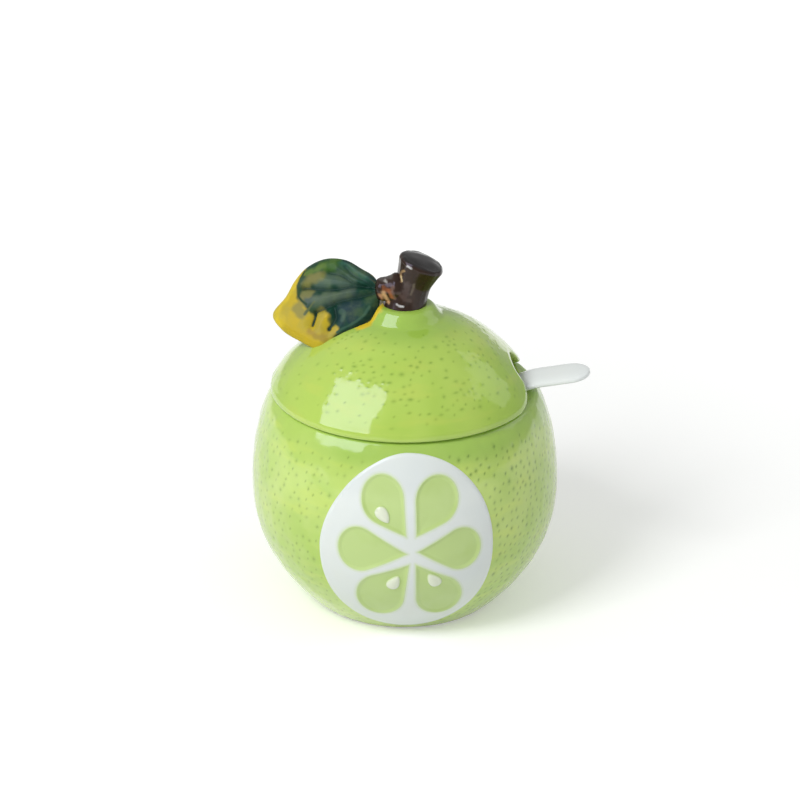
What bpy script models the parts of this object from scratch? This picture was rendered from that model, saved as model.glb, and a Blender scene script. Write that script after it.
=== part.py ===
"""Seasoning jar in the shape of a citrus fruit, in metres with +Z up.

A round glazed jar stands on its flat foot. A domed lid with a stem and a leaf lifts off its rim,
and a one-piece spoon leans in the jar with its handle out through a notch in the lid.
"""

import math

import bmesh
import bpy
import numpy as np
from mathutils import Matrix, Vector

# Jar body
BODY_RADIUS = 0.0450
BASE_RADIUS = 0.0278
RIM_RADIUS = 0.0390
EQUATOR_HEIGHT = 0.0363
RIM_HEIGHT = 0.0647
LOWER_FULLNESS = 2.25
UPPER_FULLNESS = 2.10
WALL = 0.0055
FLOOR_THICKNESS = 0.0070
FOOT_ROUND = 0.0020
RIM_ROUND = 0.0012
FLOOR_ROUND = 0.0050

# Clearance between pieces that touch, the lid's loose fit in the mouth, and a cutter's reach past a skin
GAP = 0.0003
FLANGE_CLEARANCE = 0.0007
CUT_MARGIN = 0.0012

# Lid
LID_OVERHANG = 0.0003
DOME_HEIGHT = 0.0250
DOME_FULLNESS = 1.5
LID_WALL = 0.0040
LIP_ROUND = 0.0012
FLANGE_DEPTH = 0.0050
FLANGE_THICKNESS = 0.0030
FLANGE_ROUND = 0.0008
COLLAR_RADIUS = 0.0115
COLLAR_BORDER = 0.0004
COLLAR_HEIGHT = 0.0012
# Half of the notch's outline, across from its middle and up from the lid's seat, from the lip to the arch
NOTCH_OUTLINE = (
    (0.0195, 0.0000),
    (0.0156, 0.0010),
    (0.0135, 0.0019),
    (0.0117, 0.0028),
    (0.0099, 0.0039),
    (0.0084, 0.0048),
    (0.0074, 0.0066),
    (0.0064, 0.0079),
    (0.0032, 0.0088),
    (0.0000, 0.0090),
)
# The wall sags inwards around the notch: the direction of the deepest place, how deep it is there, over what
# angle, its share at the lip, the height where it is whole, and the heights where it starts and ends to fade
SAG_TURN = math.radians(8)
SAG_DEPTH = 0.0024
SAG_ANGLE = math.radians(28)
SAG_LIP_SHARE = 0.90
SAG_WHOLE = 0.0060
SAG_FADE = (0.0090, 0.0220)

# Stem, with the side twig that carries the leaf
STEM_LENGTH = 0.0141
STEM_LEAN = math.radians(20.5)
STEM_BASE_RADIUS = 0.0063
STEM_WAIST_RADIUS = 0.0052
STEM_TOP_RADIUS = 0.0068
STEM_FLARE = 1.2
STEM_ROOT = 0.0030
STEM_FACE_RADIUS = 0.0060
STEM_DISH_RADIUS = 0.0027
STEM_DISH_DEPTH = 0.0005
TWIG_RADIUS = 0.0034
TWIG_START = 0.0049
TWIG_REACH = 0.0074
TWIG_RISE = 0.0043
# The twig's radius as shares of its length and of its plain radius
TWIG_TAPER = ((0.0, 1.3), (0.55, 1.15), (0.85, 1.0), (0.96, 0.75), (1.0, 0.35))

# Leaf, as an outline in its own plane, along its midrib and across it
LEAF_THICKNESS = 0.0028
LEAF_EDGE = 0.0010
LEAF_CROWN = 0.0012
LEAF_MIDRIB = Vector((-0.941, 0.102, -0.323))
LEAF_ACROSS = Vector((-0.164, 0.698, 0.698))
LEAF_OUTLINE = (
    (0.0003, 0.0012),
    (0.0012, 0.0048),
    (0.0043, 0.0081),
    (0.0087, 0.0122),
    (0.0145, 0.0142),
    (0.0203, 0.0132),
    (0.0246, 0.0102),
    (0.0282, 0.0060),
    (0.0323, 0.0008),
    (0.0310, -0.0038),
    (0.0270, -0.0078),
    (0.0217, -0.0124),
    (0.0160, -0.0118),
    (0.0090, -0.0102),
    (0.0046, -0.0088),
    (0.0012, -0.0046),
)

# Slice relief on the front of the body
SLICE_WIDTH = 0.0494
SLICE_TOP_MARGIN = 0.0021
SLICE_FOOT_MARGIN = 0.0028
SLICE_SIDE_SHIFT = 0.0004
# Squareness of the oval's quarters, from the upper right one round to the lower right one
SLICE_SQUARENESS = (2.1, 1.75, 2.1, 2.1)
SLICE_PROUD = 0.0005
SLICE_SUNK = 0.0010
HUB_SIDE_SHIFT = 0.0018
HUB_RISE = 0.0010
FLESH_RECESS = 0.0009
# Each segment's tip, the middle of its round end and that end's radius, from the hub as shares of the oval
SEGMENTS = (
    ((0.044, 0.018), (0.547, 0.006), 0.231),
    ((0.036, 0.170), (0.273, 0.524), 0.246),
    ((-0.066, 0.172), (-0.337, 0.539), 0.246),
    ((-0.051, -0.003), (-0.610, 0.018), 0.243),
    ((-0.033, -0.110), (-0.370, -0.515), 0.280),
    ((0.029, -0.110), (0.300, -0.529), 0.268),
)
# Each seed's direction from the hub in degrees, and its distance as a share of the oval
SEEDS = ((131, 0.512), (238, 0.402), (307, 0.400))
SEED_LENGTH = 0.0054
SEED_WIDTH = 0.0028
SEED_HEIGHT = 0.0008
SEED_EDGE = 0.0003

# Spoon
SPOON_THICKNESS = 0.0026
HANDLE_WIDTH = 0.0120
HANDLE_REACH = 0.0148
HANDLE_RISE = 0.0036
NECK_WIDTH = 0.0076
BOWL_LENGTH = 0.0320
BOWL_WIDTH = 0.0240
BOWL_DEPTH = 0.0065
BOWL_SETBACK = 0.0140
# The bowl's length along its curve, and its middle line as shares of half its length and of its depth
BOWL_STRETCH = 1.12
BOWL_LINE = ((-1.0, 1.0), (-0.55, 0.26), (0.0, 0.0), (0.6, 0.36), (1.15, 1.7))
# How square the spoon's section is, across and upwards: 1 makes an oval, less a box
SECTION_SQUARENESS = (0.7, 0.8)
# Where the shank bends over the rim, and how the handle arches beyond it
BEND_INSET = 0.0070
BEND_DROP = 0.0045
HANDLE_LIFT = 0.0004
HANDLE_ARCH = (0.35, 0.62)

# Facets of the round pieces
TURNED_STEPS = 48
ROUND_STEPS = 3
OUTSIDE_STEPS = 12
INSIDE_STEPS = 9
DOME_STEPS = 12
NOTCH_STEPS = 3
STEM_STEPS = 20
STEM_RINGS = 8
TWIG_STEPS = 12
LEAF_STEPS = 3
PLATE_STEPS = 48
PLATE_RINGS = 7
DROP_STEPS = 10
DROP_SIDES = 3
SPOON_STEPS = 16
SPOON_RINGS = 46
# Least share, squared, of the full width that the spoon keeps at its two ends
SPOON_TIP = 0.01

# Each finish's colour and roughness
GLAZES = {
    "green_glaze": ((0.42, 0.61, 0.16), 0.15),
    "lid_glaze": ((0.45, 0.64, 0.11), 0.12),
    "white_glaze": ((0.72, 0.76, 0.72), 0.20),
    "flesh_glaze": ((0.48, 0.63, 0.25), 0.18),
    "seed_glaze": ((0.74, 0.78, 0.70), 0.18),
    "bark_glaze": ((0.045, 0.030, 0.026), 0.15),
    "leaf_glaze": ((0.030, 0.090, 0.050), 0.15),
    "porcelain": ((0.76, 0.79, 0.78), 0.18),
}

LID_SEAT = RIM_HEIGHT + GAP
LID_RADIUS = RIM_RADIUS + LID_OVERHANG


def clear_scene():
    for obj in list(bpy.data.objects):
        bpy.data.objects.remove(obj, do_unlink=True)


def glaze(name):
    """A glossy ceramic finish."""
    colour, roughness = GLAZES[name]
    material = bpy.data.materials.new(name)
    material.use_nodes = True
    shader = material.node_tree.nodes["Principled BSDF"]
    shader.inputs["Base Color"].default_value = (*colour, 1.0)
    shader.inputs["Roughness"].default_value = roughness
    shader.inputs["Metallic"].default_value = 0.0
    return material


def add_object(name, bm, origin=(0.0, 0.0, 0.0), material=None, parent=None):
    """Turns a bmesh in world space into an object with the given origin."""
    origin = Vector(origin)
    bmesh.ops.remove_doubles(bm, verts=bm.verts, dist=1e-6)
    bmesh.ops.recalc_face_normals(bm, faces=bm.faces)
    bmesh.ops.translate(bm, verts=bm.verts, vec=-origin)
    mesh = bpy.data.meshes.new(name)
    bm.to_mesh(mesh)
    bm.free()
    mesh.shade_smooth()
    mesh.set_sharp_from_angle(angle=math.radians(40))
    obj = bpy.data.objects.new(name, mesh)
    bpy.context.scene.collection.objects.link(obj)
    obj.location = origin
    if material:
        mesh.materials.append(material)
    if parent:
        obj.parent = parent
        obj.location = origin - parent.matrix_world.translation
    bpy.context.view_layer.update()
    return obj


def add_cutter(name, bm):
    """A helper shape that only cuts or joins others."""
    cutter = add_object(name, bm)
    cutter.hide_render = True
    cutter.display_type = "WIRE"
    return cutter


def combine(obj, other, operation):
    boolean = obj.modifiers.new(f"{operation.lower()}_{other.name}", "BOOLEAN")
    boolean.operation = operation
    boolean.solver = "EXACT"
    boolean.object = other


def rounded(path, steps=ROUND_STEPS):
    """A path of (r, z, radius) with each corner that has a radius replaced by an arc."""
    points = []
    for i, (r, z, radius) in enumerate(path):
        corner = Vector((r, z))
        if radius <= 0 or i in (0, len(path) - 1):
            points.append(corner)
            continue
        back = (Vector(path[i - 1][:2]) - corner).normalized()
        ahead = (Vector(path[i + 1][:2]) - corner).normalized()
        half = back.angle(ahead) / 2
        centre = corner + (back + ahead).normalized() * radius / math.sin(half)
        start = corner + back * radius / math.tan(half) - centre
        end = corner + ahead * radius / math.tan(half) - centre
        sweep = start.angle_signed(end)
        for k in range(steps + 1):
            points.append(centre + Matrix.Rotation(-sweep * k / steps, 2) @ start)
    return points


def turned(profile, steps=TURNED_STEPS):
    """A closed solid turned about Z from a profile that starts and ends on the axis."""
    bm = bmesh.new()
    verts = [bm.verts.new((p.x, 0.0, p.y)) for p in profile]
    edges = [bm.edges.new(pair) for pair in zip(verts, verts[1:])]
    bmesh.ops.spin(
        bm,
        geom=verts + edges,
        cent=(0, 0, 0),
        axis=(0, 0, 1),
        angle=math.tau,
        steps=steps,
        use_merge=True,
    )
    return bm


def lofted(rings):
    """A closed solid through rings of equally many points, with a flat cap on each end."""
    bm = bmesh.new()
    loops = [[bm.verts.new(point) for point in ring] for ring in rings]
    for near, far in zip(loops, loops[1:]):
        for i in range(len(near)):
            j = (i + 1) % len(near)
            bm.faces.new((near[i], near[j], far[j], far[i]))
    bm.faces.new(reversed(loops[0]))
    bm.faces.new(loops[-1])
    return bm


def pillow(outline, shares, place):
    """A closed plate inside an outline; place(point, share, side) gives its upper and lower skin."""
    bm = bmesh.new()
    centre = sum(outline, Vector((0.0, 0.0))) / len(outline)
    for side in (1, -1):
        middle = bm.verts.new(place(centre, 0.0, side))
        inner = None
        for share in shares:
            ring = [bm.verts.new(place(centre.lerp(p, share), share, side)) for p in outline]
            for i in range(len(ring)):
                j = (i + 1) % len(ring)
                if inner is None:
                    bm.faces.new((middle, ring[i], ring[j]))
                else:
                    bm.faces.new((inner[i], ring[i], ring[j], inner[j]))
            inner = ring
        if side == 1:
            upper = inner
    for i in range(len(upper)):
        j = (i + 1) % len(upper)
        bm.faces.new((upper[i], inner[i], inner[j], upper[j]))
    return bm


def body_radius(z):
    """Outside radius of the jar body at a height."""
    if z < EQUATOR_HEIGHT:
        share = (EQUATOR_HEIGHT - z) / EQUATOR_HEIGHT
        return BODY_RADIUS - (BODY_RADIUS - BASE_RADIUS) * share**LOWER_FULLNESS
    share = (z - EQUATOR_HEIGHT) / (RIM_HEIGHT - EQUATOR_HEIGHT)
    return BODY_RADIUS - (BODY_RADIUS - RIM_RADIUS) * share**UPPER_FULLNESS


def body_slope(z, step=1e-5):
    return (body_radius(z + step) - body_radius(z - step)) / (2 * step)


def inside_curve(samples=200):
    """Heights and radii of the jar's inner wall, one wall thickness inside the outer skin."""
    heights = np.linspace(0.0, RIM_HEIGHT, samples)
    tilts = [math.atan(body_slope(z)) for z in heights]
    radii = [body_radius(z) - WALL * math.cos(t) for z, t in zip(heights, tilts)]
    lifted = [z + WALL * math.sin(t) for z, t in zip(heights, tilts)]
    return np.array(lifted), np.array(radii)


def inside_radius(z):
    heights, radii = inside_curve()
    return float(np.interp(z, heights, radii))


MOUTH_RADIUS = inside_radius(RIM_HEIGHT)


def jar_body():
    """The hollow body, turned from its outer and inner walls."""
    outer_heights = np.linspace(RIM_HEIGHT, 0.0, OUTSIDE_STEPS)
    inner_heights = np.linspace(FLOOR_THICKNESS, RIM_HEIGHT, INSIDE_STEPS)
    outer = [(body_radius(z), z, 0.0) for z in outer_heights]
    inner = [(inside_radius(z), z, 0.0) for z in inner_heights]
    outer[0] = (*outer[0][:2], RIM_ROUND)
    outer[-1] = (*outer[-1][:2], FOOT_ROUND)
    inner[0] = (*inner[0][:2], FLOOR_ROUND)
    inner[-1] = (*inner[-1][:2], RIM_ROUND)
    floor_centre = (0.0, FLOOR_THICKNESS, 0.0)
    foot_centre = (0.0, 0.0, 0.0)
    path = [floor_centre] + inner + outer + [foot_centre]
    return add_object("jar_body", turned(rounded(path)), material=glaze("green_glaze"))


def on_body(x, z, depth):
    """A point of the front skin at a place in front view, moved out along the skin's normal."""
    radius = body_radius(z)
    y = -math.sqrt(radius * radius - x * x)
    normal = Vector((x / radius, y / radius, -body_slope(z))).normalized()
    return Vector((x, y, z)) + normal * depth


SLICE_HEIGHT = RIM_HEIGHT - SLICE_TOP_MARGIN - SLICE_FOOT_MARGIN
SLICE_CENTRE = Vector((SLICE_SIDE_SHIFT, SLICE_FOOT_MARGIN + SLICE_HEIGHT / 2))
SLICE_HUB = SLICE_CENTRE + Vector((HUB_SIDE_SHIFT, HUB_RISE))
FLESH_TOP = SLICE_PROUD - FLESH_RECESS


def slice_outline(spare=0.0):
    """The slice's oval in front view, with spare room all round."""
    points = []
    for i in range(PLATE_STEPS):
        turn = math.tau * i / PLATE_STEPS
        across, along = math.cos(turn), math.sin(turn)
        power = 2 / SLICE_SQUARENESS[4 * i // PLATE_STEPS]
        x = math.copysign(abs(across) ** power, across)
        z = math.copysign(abs(along) ** power, along)
        points.append(
            SLICE_CENTRE + Vector((x * (SLICE_WIDTH / 2 + spare), z * (SLICE_HEIGHT / 2 + spare)))
        )
    return points


def teardrop(tip, middle, radius, steps, side_steps):
    """A drop along +X: a point at tip and a round end of the given radius about middle."""
    half = math.asin(radius / (middle - tip))
    last = math.pi / 2 + half
    turns = [-last + 2 * last * i / steps for i in range(steps + 1)]
    arc = [Vector((middle + radius * math.cos(t), radius * math.sin(t))) for t in turns]
    point = Vector((tip, 0.0))
    sides = [k / side_steps for k in range(1, side_steps)]
    below = [point.lerp(arc[0], share) for share in sides]
    above = [arc[-1].lerp(point, share) for share in sides]
    return [point] + below + arc + above


def shrunk(outline, by):
    """A counter-clockwise outline moved inwards by a distance."""
    points = []
    for i, point in enumerate(outline):
        back = (point - outline[i - 1]).normalized()
        ahead = (outline[(i + 1) % len(outline)] - point).normalized()
        inward = Vector((-(back.y + ahead.y), back.x + ahead.x)).normalized()
        points.append(point + inward * by / inward.dot(Vector((-back.y, back.x))))
    return points


def segment_outline(tip, middle, radius):
    """A segment's outline in front view, a drop from its tip to its round end."""
    tip = Vector(tip)
    spoke = Vector(middle) - tip
    turn = Matrix.Rotation(math.atan2(spoke.y, spoke.x), 2)
    drop = teardrop(0.0, spoke.length, radius, DROP_STEPS, DROP_SIDES)
    shares = [tip + turn @ point for point in drop]
    return [SLICE_HUB + Vector((p.x * SLICE_WIDTH / 2, p.y * SLICE_HEIGHT / 2)) for p in shares]


def skin_plate(outline, shares, low, high):
    """A plate that follows the body's skin between two depths."""

    def skin(point, share, side):
        return on_body(point.x, point.y, high if side > 0 else low)

    return pillow(outline, shares, skin)


def slice_relief(body):
    """The oval slice let into the front skin, with a flesh plate in each of its windows."""
    rings = np.linspace(0.0, 1.0, PLATE_RINGS + 1)[1:]
    flesh_rings = np.linspace(0.0, 1.0, DROP_SIDES + 1)[1:]
    bottom = -SLICE_SUNK
    pocket = skin_plate(slice_outline(GAP), rings, bottom - GAP, SLICE_PROUD + CUT_MARGIN)
    combine(body, add_cutter("slice_pocket", pocket), "DIFFERENCE")
    disc_form = skin_plate(slice_outline(), rings, bottom, SLICE_PROUD)
    disc = add_object("slice_disc", disc_form, material=glaze("white_glaze"), parent=body)
    flesh_glaze = glaze("flesh_glaze")
    for number, segment in enumerate(SEGMENTS, 1):
        outline = segment_outline(*segment)
        window = skin_plate(outline, flesh_rings, bottom - CUT_MARGIN, SLICE_PROUD + CUT_MARGIN)
        combine(disc, add_cutter(f"segment_window_{number}", window), "DIFFERENCE")
        flesh = skin_plate(shrunk(outline, GAP), flesh_rings, bottom, FLESH_TOP)
        add_object(f"slice_segment_{number}", flesh, material=flesh_glaze, parent=body)
    seed_glaze = glaze("seed_glaze")
    for number, seed in enumerate(SEEDS, 1):
        add_object(f"slice_seed_{number}", seed_form(*seed), material=seed_glaze, parent=body)


def seed_form(direction, distance):
    """A raised drop on a segment, with its point towards the hub."""
    angle = math.radians(direction)
    across = math.cos(angle) * SLICE_WIDTH / 2
    along = math.sin(angle) * SLICE_HEIGHT / 2
    place = Vector((across, along)) * distance
    turn = Matrix.Rotation(math.atan2(along, across), 2)
    blunt = SEED_WIDTH / 2
    drop = teardrop(-SEED_LENGTH / 2, SEED_LENGTH / 2 - blunt, blunt, DROP_STEPS, 1)
    outline = [SLICE_HUB + place + turn @ point for point in drop]
    foot = FLESH_TOP + GAP

    def skin(point, share, side):
        crown = SEED_EDGE + (SEED_HEIGHT - SEED_EDGE) * math.sqrt(1 - share * share)
        return on_body(point.x, point.y, foot + crown if side > 0 else foot)

    return pillow(outline, (0.5, 0.85, 1.0), skin)


def dome_height(r, radius, height):
    """Height of a dome's skin above its edge at a distance from the axis."""
    return height * max(1 - (r / radius) ** DOME_FULLNESS, 0.0) ** (1 / DOME_FULLNESS)


PAD_RADIUS = STEM_BASE_RADIUS + COLLAR_BORDER


def collar_rise(r):
    """The collar around the stem: a flat pad under its foot, then falling softly onto the dome."""
    share = min(max((COLLAR_RADIUS - r) / (COLLAR_RADIUS - PAD_RADIUS), 0.0), 1.0)
    drop = DOME_HEIGHT - dome_height(r, LID_RADIUS, DOME_HEIGHT)
    return (COLLAR_HEIGHT + drop) * share * share * (3 - 2 * share)


def dome_path():
    """Distances from the axis along the lid's skin, from its edge over the collar to the middle."""
    turns = np.linspace(0.0, math.pi / 2, DOME_STEPS + 1)[:-1]
    dome = [LID_RADIUS * math.cos(t) ** (2 / DOME_FULLNESS) for t in turns]
    collar = list(np.linspace(COLLAR_RADIUS, PAD_RADIUS, ROUND_STEPS + 1))
    return [r for r in dome if r > COLLAR_RADIUS + COLLAR_HEIGHT] + collar + [0.0]


def dome_profile(spare=0.0):
    """(r, z) along the outside of the lid from the edge to the top, moved out by spare room."""
    points = []
    for r in dome_path():
        z = LID_SEAT + dome_height(r, LID_RADIUS, DOME_HEIGHT) + collar_rise(r)
        points.append(Vector((r, z)))
    moved = []
    for i, point in enumerate(points):
        along = points[min(i + 1, len(points) - 1)] - points[max(i - 1, 0)]
        outward = Vector((along.y, -along.x)).normalized()
        moved.append(point + outward * spare)
    moved[-1].x = 0.0
    return moved


def soft(share):
    """A soft rise from 0 to 1."""
    share = min(max(share, 0.0), 1.0)
    return share * share * (3 - 2 * share)


def sag(angle, r, height):
    """How far the lid's wall sags inwards, at an angle from its deepest place and a height above the seat."""
    start, end = SAG_FADE
    depth = SAG_DEPTH * math.exp(-((angle / SAG_ANGLE) ** 2)) * soft((end - height) / (end - start))
    depth *= SAG_LIP_SHARE + (1 - SAG_LIP_SHARE) * soft(height / SAG_WHOLE)
    # The flange under the seat stays round.
    flange_outer = MOUTH_RADIUS - FLANGE_CLEARANCE
    return depth * max(soft(height / LID_WALL), soft((r - flange_outer) / LID_WALL))


def sagged(form):
    """The turned lid with its wall drawn in around the place of the notch."""
    for vert in form.verts:
        r = math.hypot(vert.co.x, vert.co.y)
        angle = math.remainder(math.atan2(vert.co.y, vert.co.x) - SAG_TURN, math.tau)
        share = 1 - sag(angle, r, vert.co.z - LID_SEAT) / r if r > 0 else 1.0
        vert.co.x *= share
        vert.co.y *= share
    bmesh.ops.triangulate(form, faces=form.faces[:])
    return form


def notch_form():
    """The arch cut through the lid's edge, flared where it meets the lip."""
    half = open_curve([Vector(mark) for mark in NOTCH_OUTLINE], NOTCH_STEPS)
    half[0].y = -FLANGE_DEPTH - CUT_MARGIN
    half.insert(1, Vector(NOTCH_OUTLINE[0]))
    outline = half + [Vector((-p.x, p.y)) for p in reversed(half[:-1])]
    reach = NOTCH_OUTLINE[0][0]
    inner = MOUTH_RADIUS - FLANGE_CLEARANCE - FLANGE_THICKNESS - reach
    outer = LID_RADIUS + reach
    return lofted([[Vector((x, p.x, LID_SEAT + p.y)) for p in outline] for x in (inner, outer)])


def lid_shell():
    """The hollow dome with its locating flange, and the notch for the spoon cut through its edge."""
    flange_outer = MOUTH_RADIUS - FLANGE_CLEARANCE
    flange_inner = flange_outer - FLANGE_THICKNESS
    flange_foot = LID_SEAT - FLANGE_DEPTH
    inner_radius = LID_RADIUS - LID_WALL
    inner_height = DOME_HEIGHT - LID_WALL
    outer = [(p.x, p.y, 0.0) for p in reversed(dome_profile())]
    outer[-1] = (*outer[-1][:2], LIP_ROUND)
    # The skin's point next to the lip lies inside the lip's round.
    outer.pop(-2)
    flange = [
        (flange_outer, LID_SEAT, 0.0),
        (flange_outer, flange_foot, FLANGE_ROUND),
        (flange_inner, flange_foot, FLANGE_ROUND),
    ]
    inner = [
        (r, LID_SEAT + dome_height(r, inner_radius, inner_height), 0.0)
        for r in np.linspace(flange_inner, 0.0, INSIDE_STEPS)
    ]
    form = sagged(turned(rounded(outer + flange + inner)))
    shell = add_object("lid_shell", form, origin=(0, 0, LID_SEAT), material=glaze("lid_glaze"))
    combine(shell, add_cutter("spoon_notch", notch_form()), "DIFFERENCE")
    return shell


def ring_about(centre, axis, radius, steps):
    """A ring of points around a centre, square to an axis that lies in the XZ plane."""
    side = Vector((0, 1, 0))
    across = side.cross(axis).normalized()
    return [
        centre + (across * math.cos(t) + side * math.sin(t)) * radius
        for t in (math.tau * i / steps for i in range(steps))
    ]


STEM_FOOT = Vector((0, 0, LID_SEAT + DOME_HEIGHT + COLLAR_HEIGHT))
STEM_AXIS = Vector((math.sin(STEM_LEAN), 0, math.cos(STEM_LEAN)))


def stem_radius(share):
    """Radius along the stem: flared at the foot, narrow in the middle, wide at the cut top."""
    if share < 0.5:
        return STEM_WAIST_RADIUS + (STEM_BASE_RADIUS - STEM_WAIST_RADIUS) * (1 - 2 * share) ** 2
    return STEM_WAIST_RADIUS + (STEM_TOP_RADIUS - STEM_WAIST_RADIUS) * (2 * share - 1) ** STEM_FLARE


def stem_form():
    """The leaning stem, upright where it meets the lid, with a rounded and dished top."""
    upright = Vector((0, 0, 1))
    rings = [ring_about(STEM_FOOT - upright * STEM_ROOT, upright, STEM_BASE_RADIUS, STEM_STEPS)]
    shoulder = 1 - (STEM_TOP_RADIUS - STEM_FACE_RADIUS) / STEM_LENGTH
    for share in np.linspace(0.0, shoulder, STEM_RINGS):
        axis = upright.slerp(STEM_AXIS, min(1.0, 2 * share))
        centre = STEM_FOOT + STEM_AXIS * STEM_LENGTH * share
        rings.append(ring_about(centre, axis, stem_radius(share), STEM_STEPS))
    top = STEM_FOOT + STEM_AXIS * STEM_LENGTH
    rings.append(ring_about(top, STEM_AXIS, STEM_FACE_RADIUS, STEM_STEPS))
    rings.append(ring_about(top - STEM_AXIS * STEM_DISH_DEPTH, STEM_AXIS, STEM_DISH_RADIUS, STEM_STEPS))
    return lofted(rings)


LEAF_BASE = STEM_FOOT + Vector((-TWIG_REACH, 0, TWIG_RISE))


def twig_form(spare=0.0):
    """The short side twig, from inside the stem to the leaf's base."""
    start = STEM_FOOT + STEM_AXIS * TWIG_START
    along = (LEAF_BASE - start).normalized()
    length = (LEAF_BASE - start).length + spare
    rings = []
    for share, width in TWIG_TAPER:
        centre = start + along * length * share
        rings.append(ring_about(centre, along, TWIG_RADIUS * width + spare, TWIG_STEPS))
    return lofted(rings)


def between(a, b, c, d, steps):
    """Points of a smooth curve from b up to c, with a and d as the neighbours before and after."""
    points = []
    for k in range(steps):
        t = k / steps
        square = (2 * a - 5 * b + 4 * c - d) * t**2
        cube = (3 * b - a - 3 * c + d) * t**3
        points.append((2 * b + (c - a) * t + square + cube) / 2)
    return points


def closed_curve(marks, steps):
    """A smooth closed curve through the marks."""
    curve = []
    for i in range(len(marks)):
        around = [Vector(marks[(i + k) % len(marks)]) for k in (-1, 0, 1, 2)]
        curve += between(*around, steps)
    return curve


def open_curve(marks, steps):
    """A smooth curve from the first mark to the last."""
    marks = [marks[0] * 2 - marks[1]] + marks + [marks[-1] * 2 - marks[-2]]
    curve = []
    for around in zip(marks, marks[1:], marks[2:], marks[3:]):
        curve += between(*around, steps)
    return curve + [marks[-2]]


def leaf_form():
    """A thick crowned leaf standing on its lower edge, facing forwards and up."""
    facing = LEAF_ACROSS.cross(LEAF_MIDRIB).normalized()

    def skin(point, share, side):
        half = (LEAF_THICKNESS - (LEAF_THICKNESS - LEAF_EDGE) * share**3) / 2
        rise = LEAF_CROWN * (1 - share**2) + side * half - LEAF_THICKNESS / 2
        return LEAF_BASE + LEAF_MIDRIB * point.x + LEAF_ACROSS * point.y + facing * rise

    return pillow(closed_curve(LEAF_OUTLINE, LEAF_STEPS), (0.35, 0.65, 0.87, 0.97, 1.0), skin)


def lid_ornament(shell):
    """The stem and the leaf, seated on the dome with the joining gap between them."""
    low = LID_SEAT - STEM_ROOT
    seat_path = [Vector((0, low)), Vector((LID_RADIUS + GAP, low))] + dome_profile(GAP)
    seat = add_cutter("dome_seat", turned(list(reversed(seat_path))))
    stem = add_object("stem", stem_form(), STEM_FOOT, glaze("bark_glaze"), shell)
    combine(stem, add_cutter("twig", twig_form()), "UNION")
    combine(stem, seat, "DIFFERENCE")
    leaf = add_object("leaf", leaf_form(), LEAF_BASE, glaze("leaf_glaze"), shell)
    combine(leaf, seat, "DIFFERENCE")
    combine(leaf, add_cutter("twig_socket", twig_form(GAP)), "DIFFERENCE")


SPOON_LIFT = GAP + SPOON_THICKNESS / 2
SPOON_PIVOT = Vector((-BOWL_SETBACK, 0, FLOOR_THICKNESS + GAP))
BOWL_RUN = BOWL_LENGTH * BOWL_STRETCH


def spoon_marks():
    """The points that the spoon's middle line passes, as (x, z) from the bowl's lip to the handle's end."""
    bowl_floor = FLOOR_THICKNESS + SPOON_LIFT
    rest = Vector(((MOUTH_RADIUS + RIM_RADIUS) / 2 - RIM_ROUND, RIM_HEIGHT + SPOON_LIFT))
    bowl = [
        Vector((along * BOWL_LENGTH / 2 - BOWL_SETBACK, bowl_floor + up * BOWL_DEPTH))
        for along, up in BOWL_LINE
    ]
    bend = Vector((MOUTH_RADIUS - BEND_INSET, rest.y - BEND_DROP))
    shank = [bowl[-1].lerp(bend, share) for share in (0.35, 0.75)]
    along, up = HANDLE_ARCH
    handle = [
        rest + Vector((0.0, HANDLE_LIFT)),
        Vector((RIM_RADIUS + HANDLE_REACH * along, rest.y + HANDLE_RISE * up)),
        Vector((RIM_RADIUS + HANDLE_REACH, rest.y + HANDLE_RISE)),
    ]
    return bowl + shank + [bend] + handle


def spoon_spine():
    """Points along the spoon's middle line, closer together near its ends, and their distances along it."""
    curve = open_curve(spoon_marks(), TURNED_STEPS)
    lengths = [0.0]
    for near, far in zip(curve, curve[1:]):
        lengths.append(lengths[-1] + (far - near).length)
    spread = 0.5 - 0.5 * np.cos(np.linspace(0.0, math.pi, SPOON_RINGS))
    wanted = lengths[-1] * spread
    xs = np.interp(wanted, lengths, [p.x for p in curve])
    zs = np.interp(wanted, lengths, [p.y for p in curve])
    return [Vector((x, 0.0, z)) for x, z in zip(xs, zs)], wanted


def spoon_width(distance, total):
    """Half-width along the spoon: an oval bowl, a narrow neck and a handle with a round end."""
    handle = HANDLE_WIDTH / 2
    from_end = min((total - distance) / handle, 1.0)
    round_end = handle * math.sqrt(max(1 - (1 - from_end) ** 2, SPOON_TIP))
    share = min(max((distance - BOWL_RUN) / (total - BOWL_RUN - HANDLE_REACH), 0.0), 1.0)
    strip = min((NECK_WIDTH + (HANDLE_WIDTH - NECK_WIDTH) * share) / 2, round_end)
    across = 2 * min(distance / BOWL_RUN, 1.0) - 1
    oval = BOWL_WIDTH / 2 * math.sqrt(max(1 - across * across, SPOON_TIP))
    return max(oval, strip) if across > 0 else oval


def spoon_dish(distance):
    """How far the edges stand above the section's middle: deep in the bowl, flat on the handle."""
    share = min(distance / BOWL_RUN, 1.0)
    return BOWL_DEPTH * math.sin(math.pi * share) ** 1.2


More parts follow.
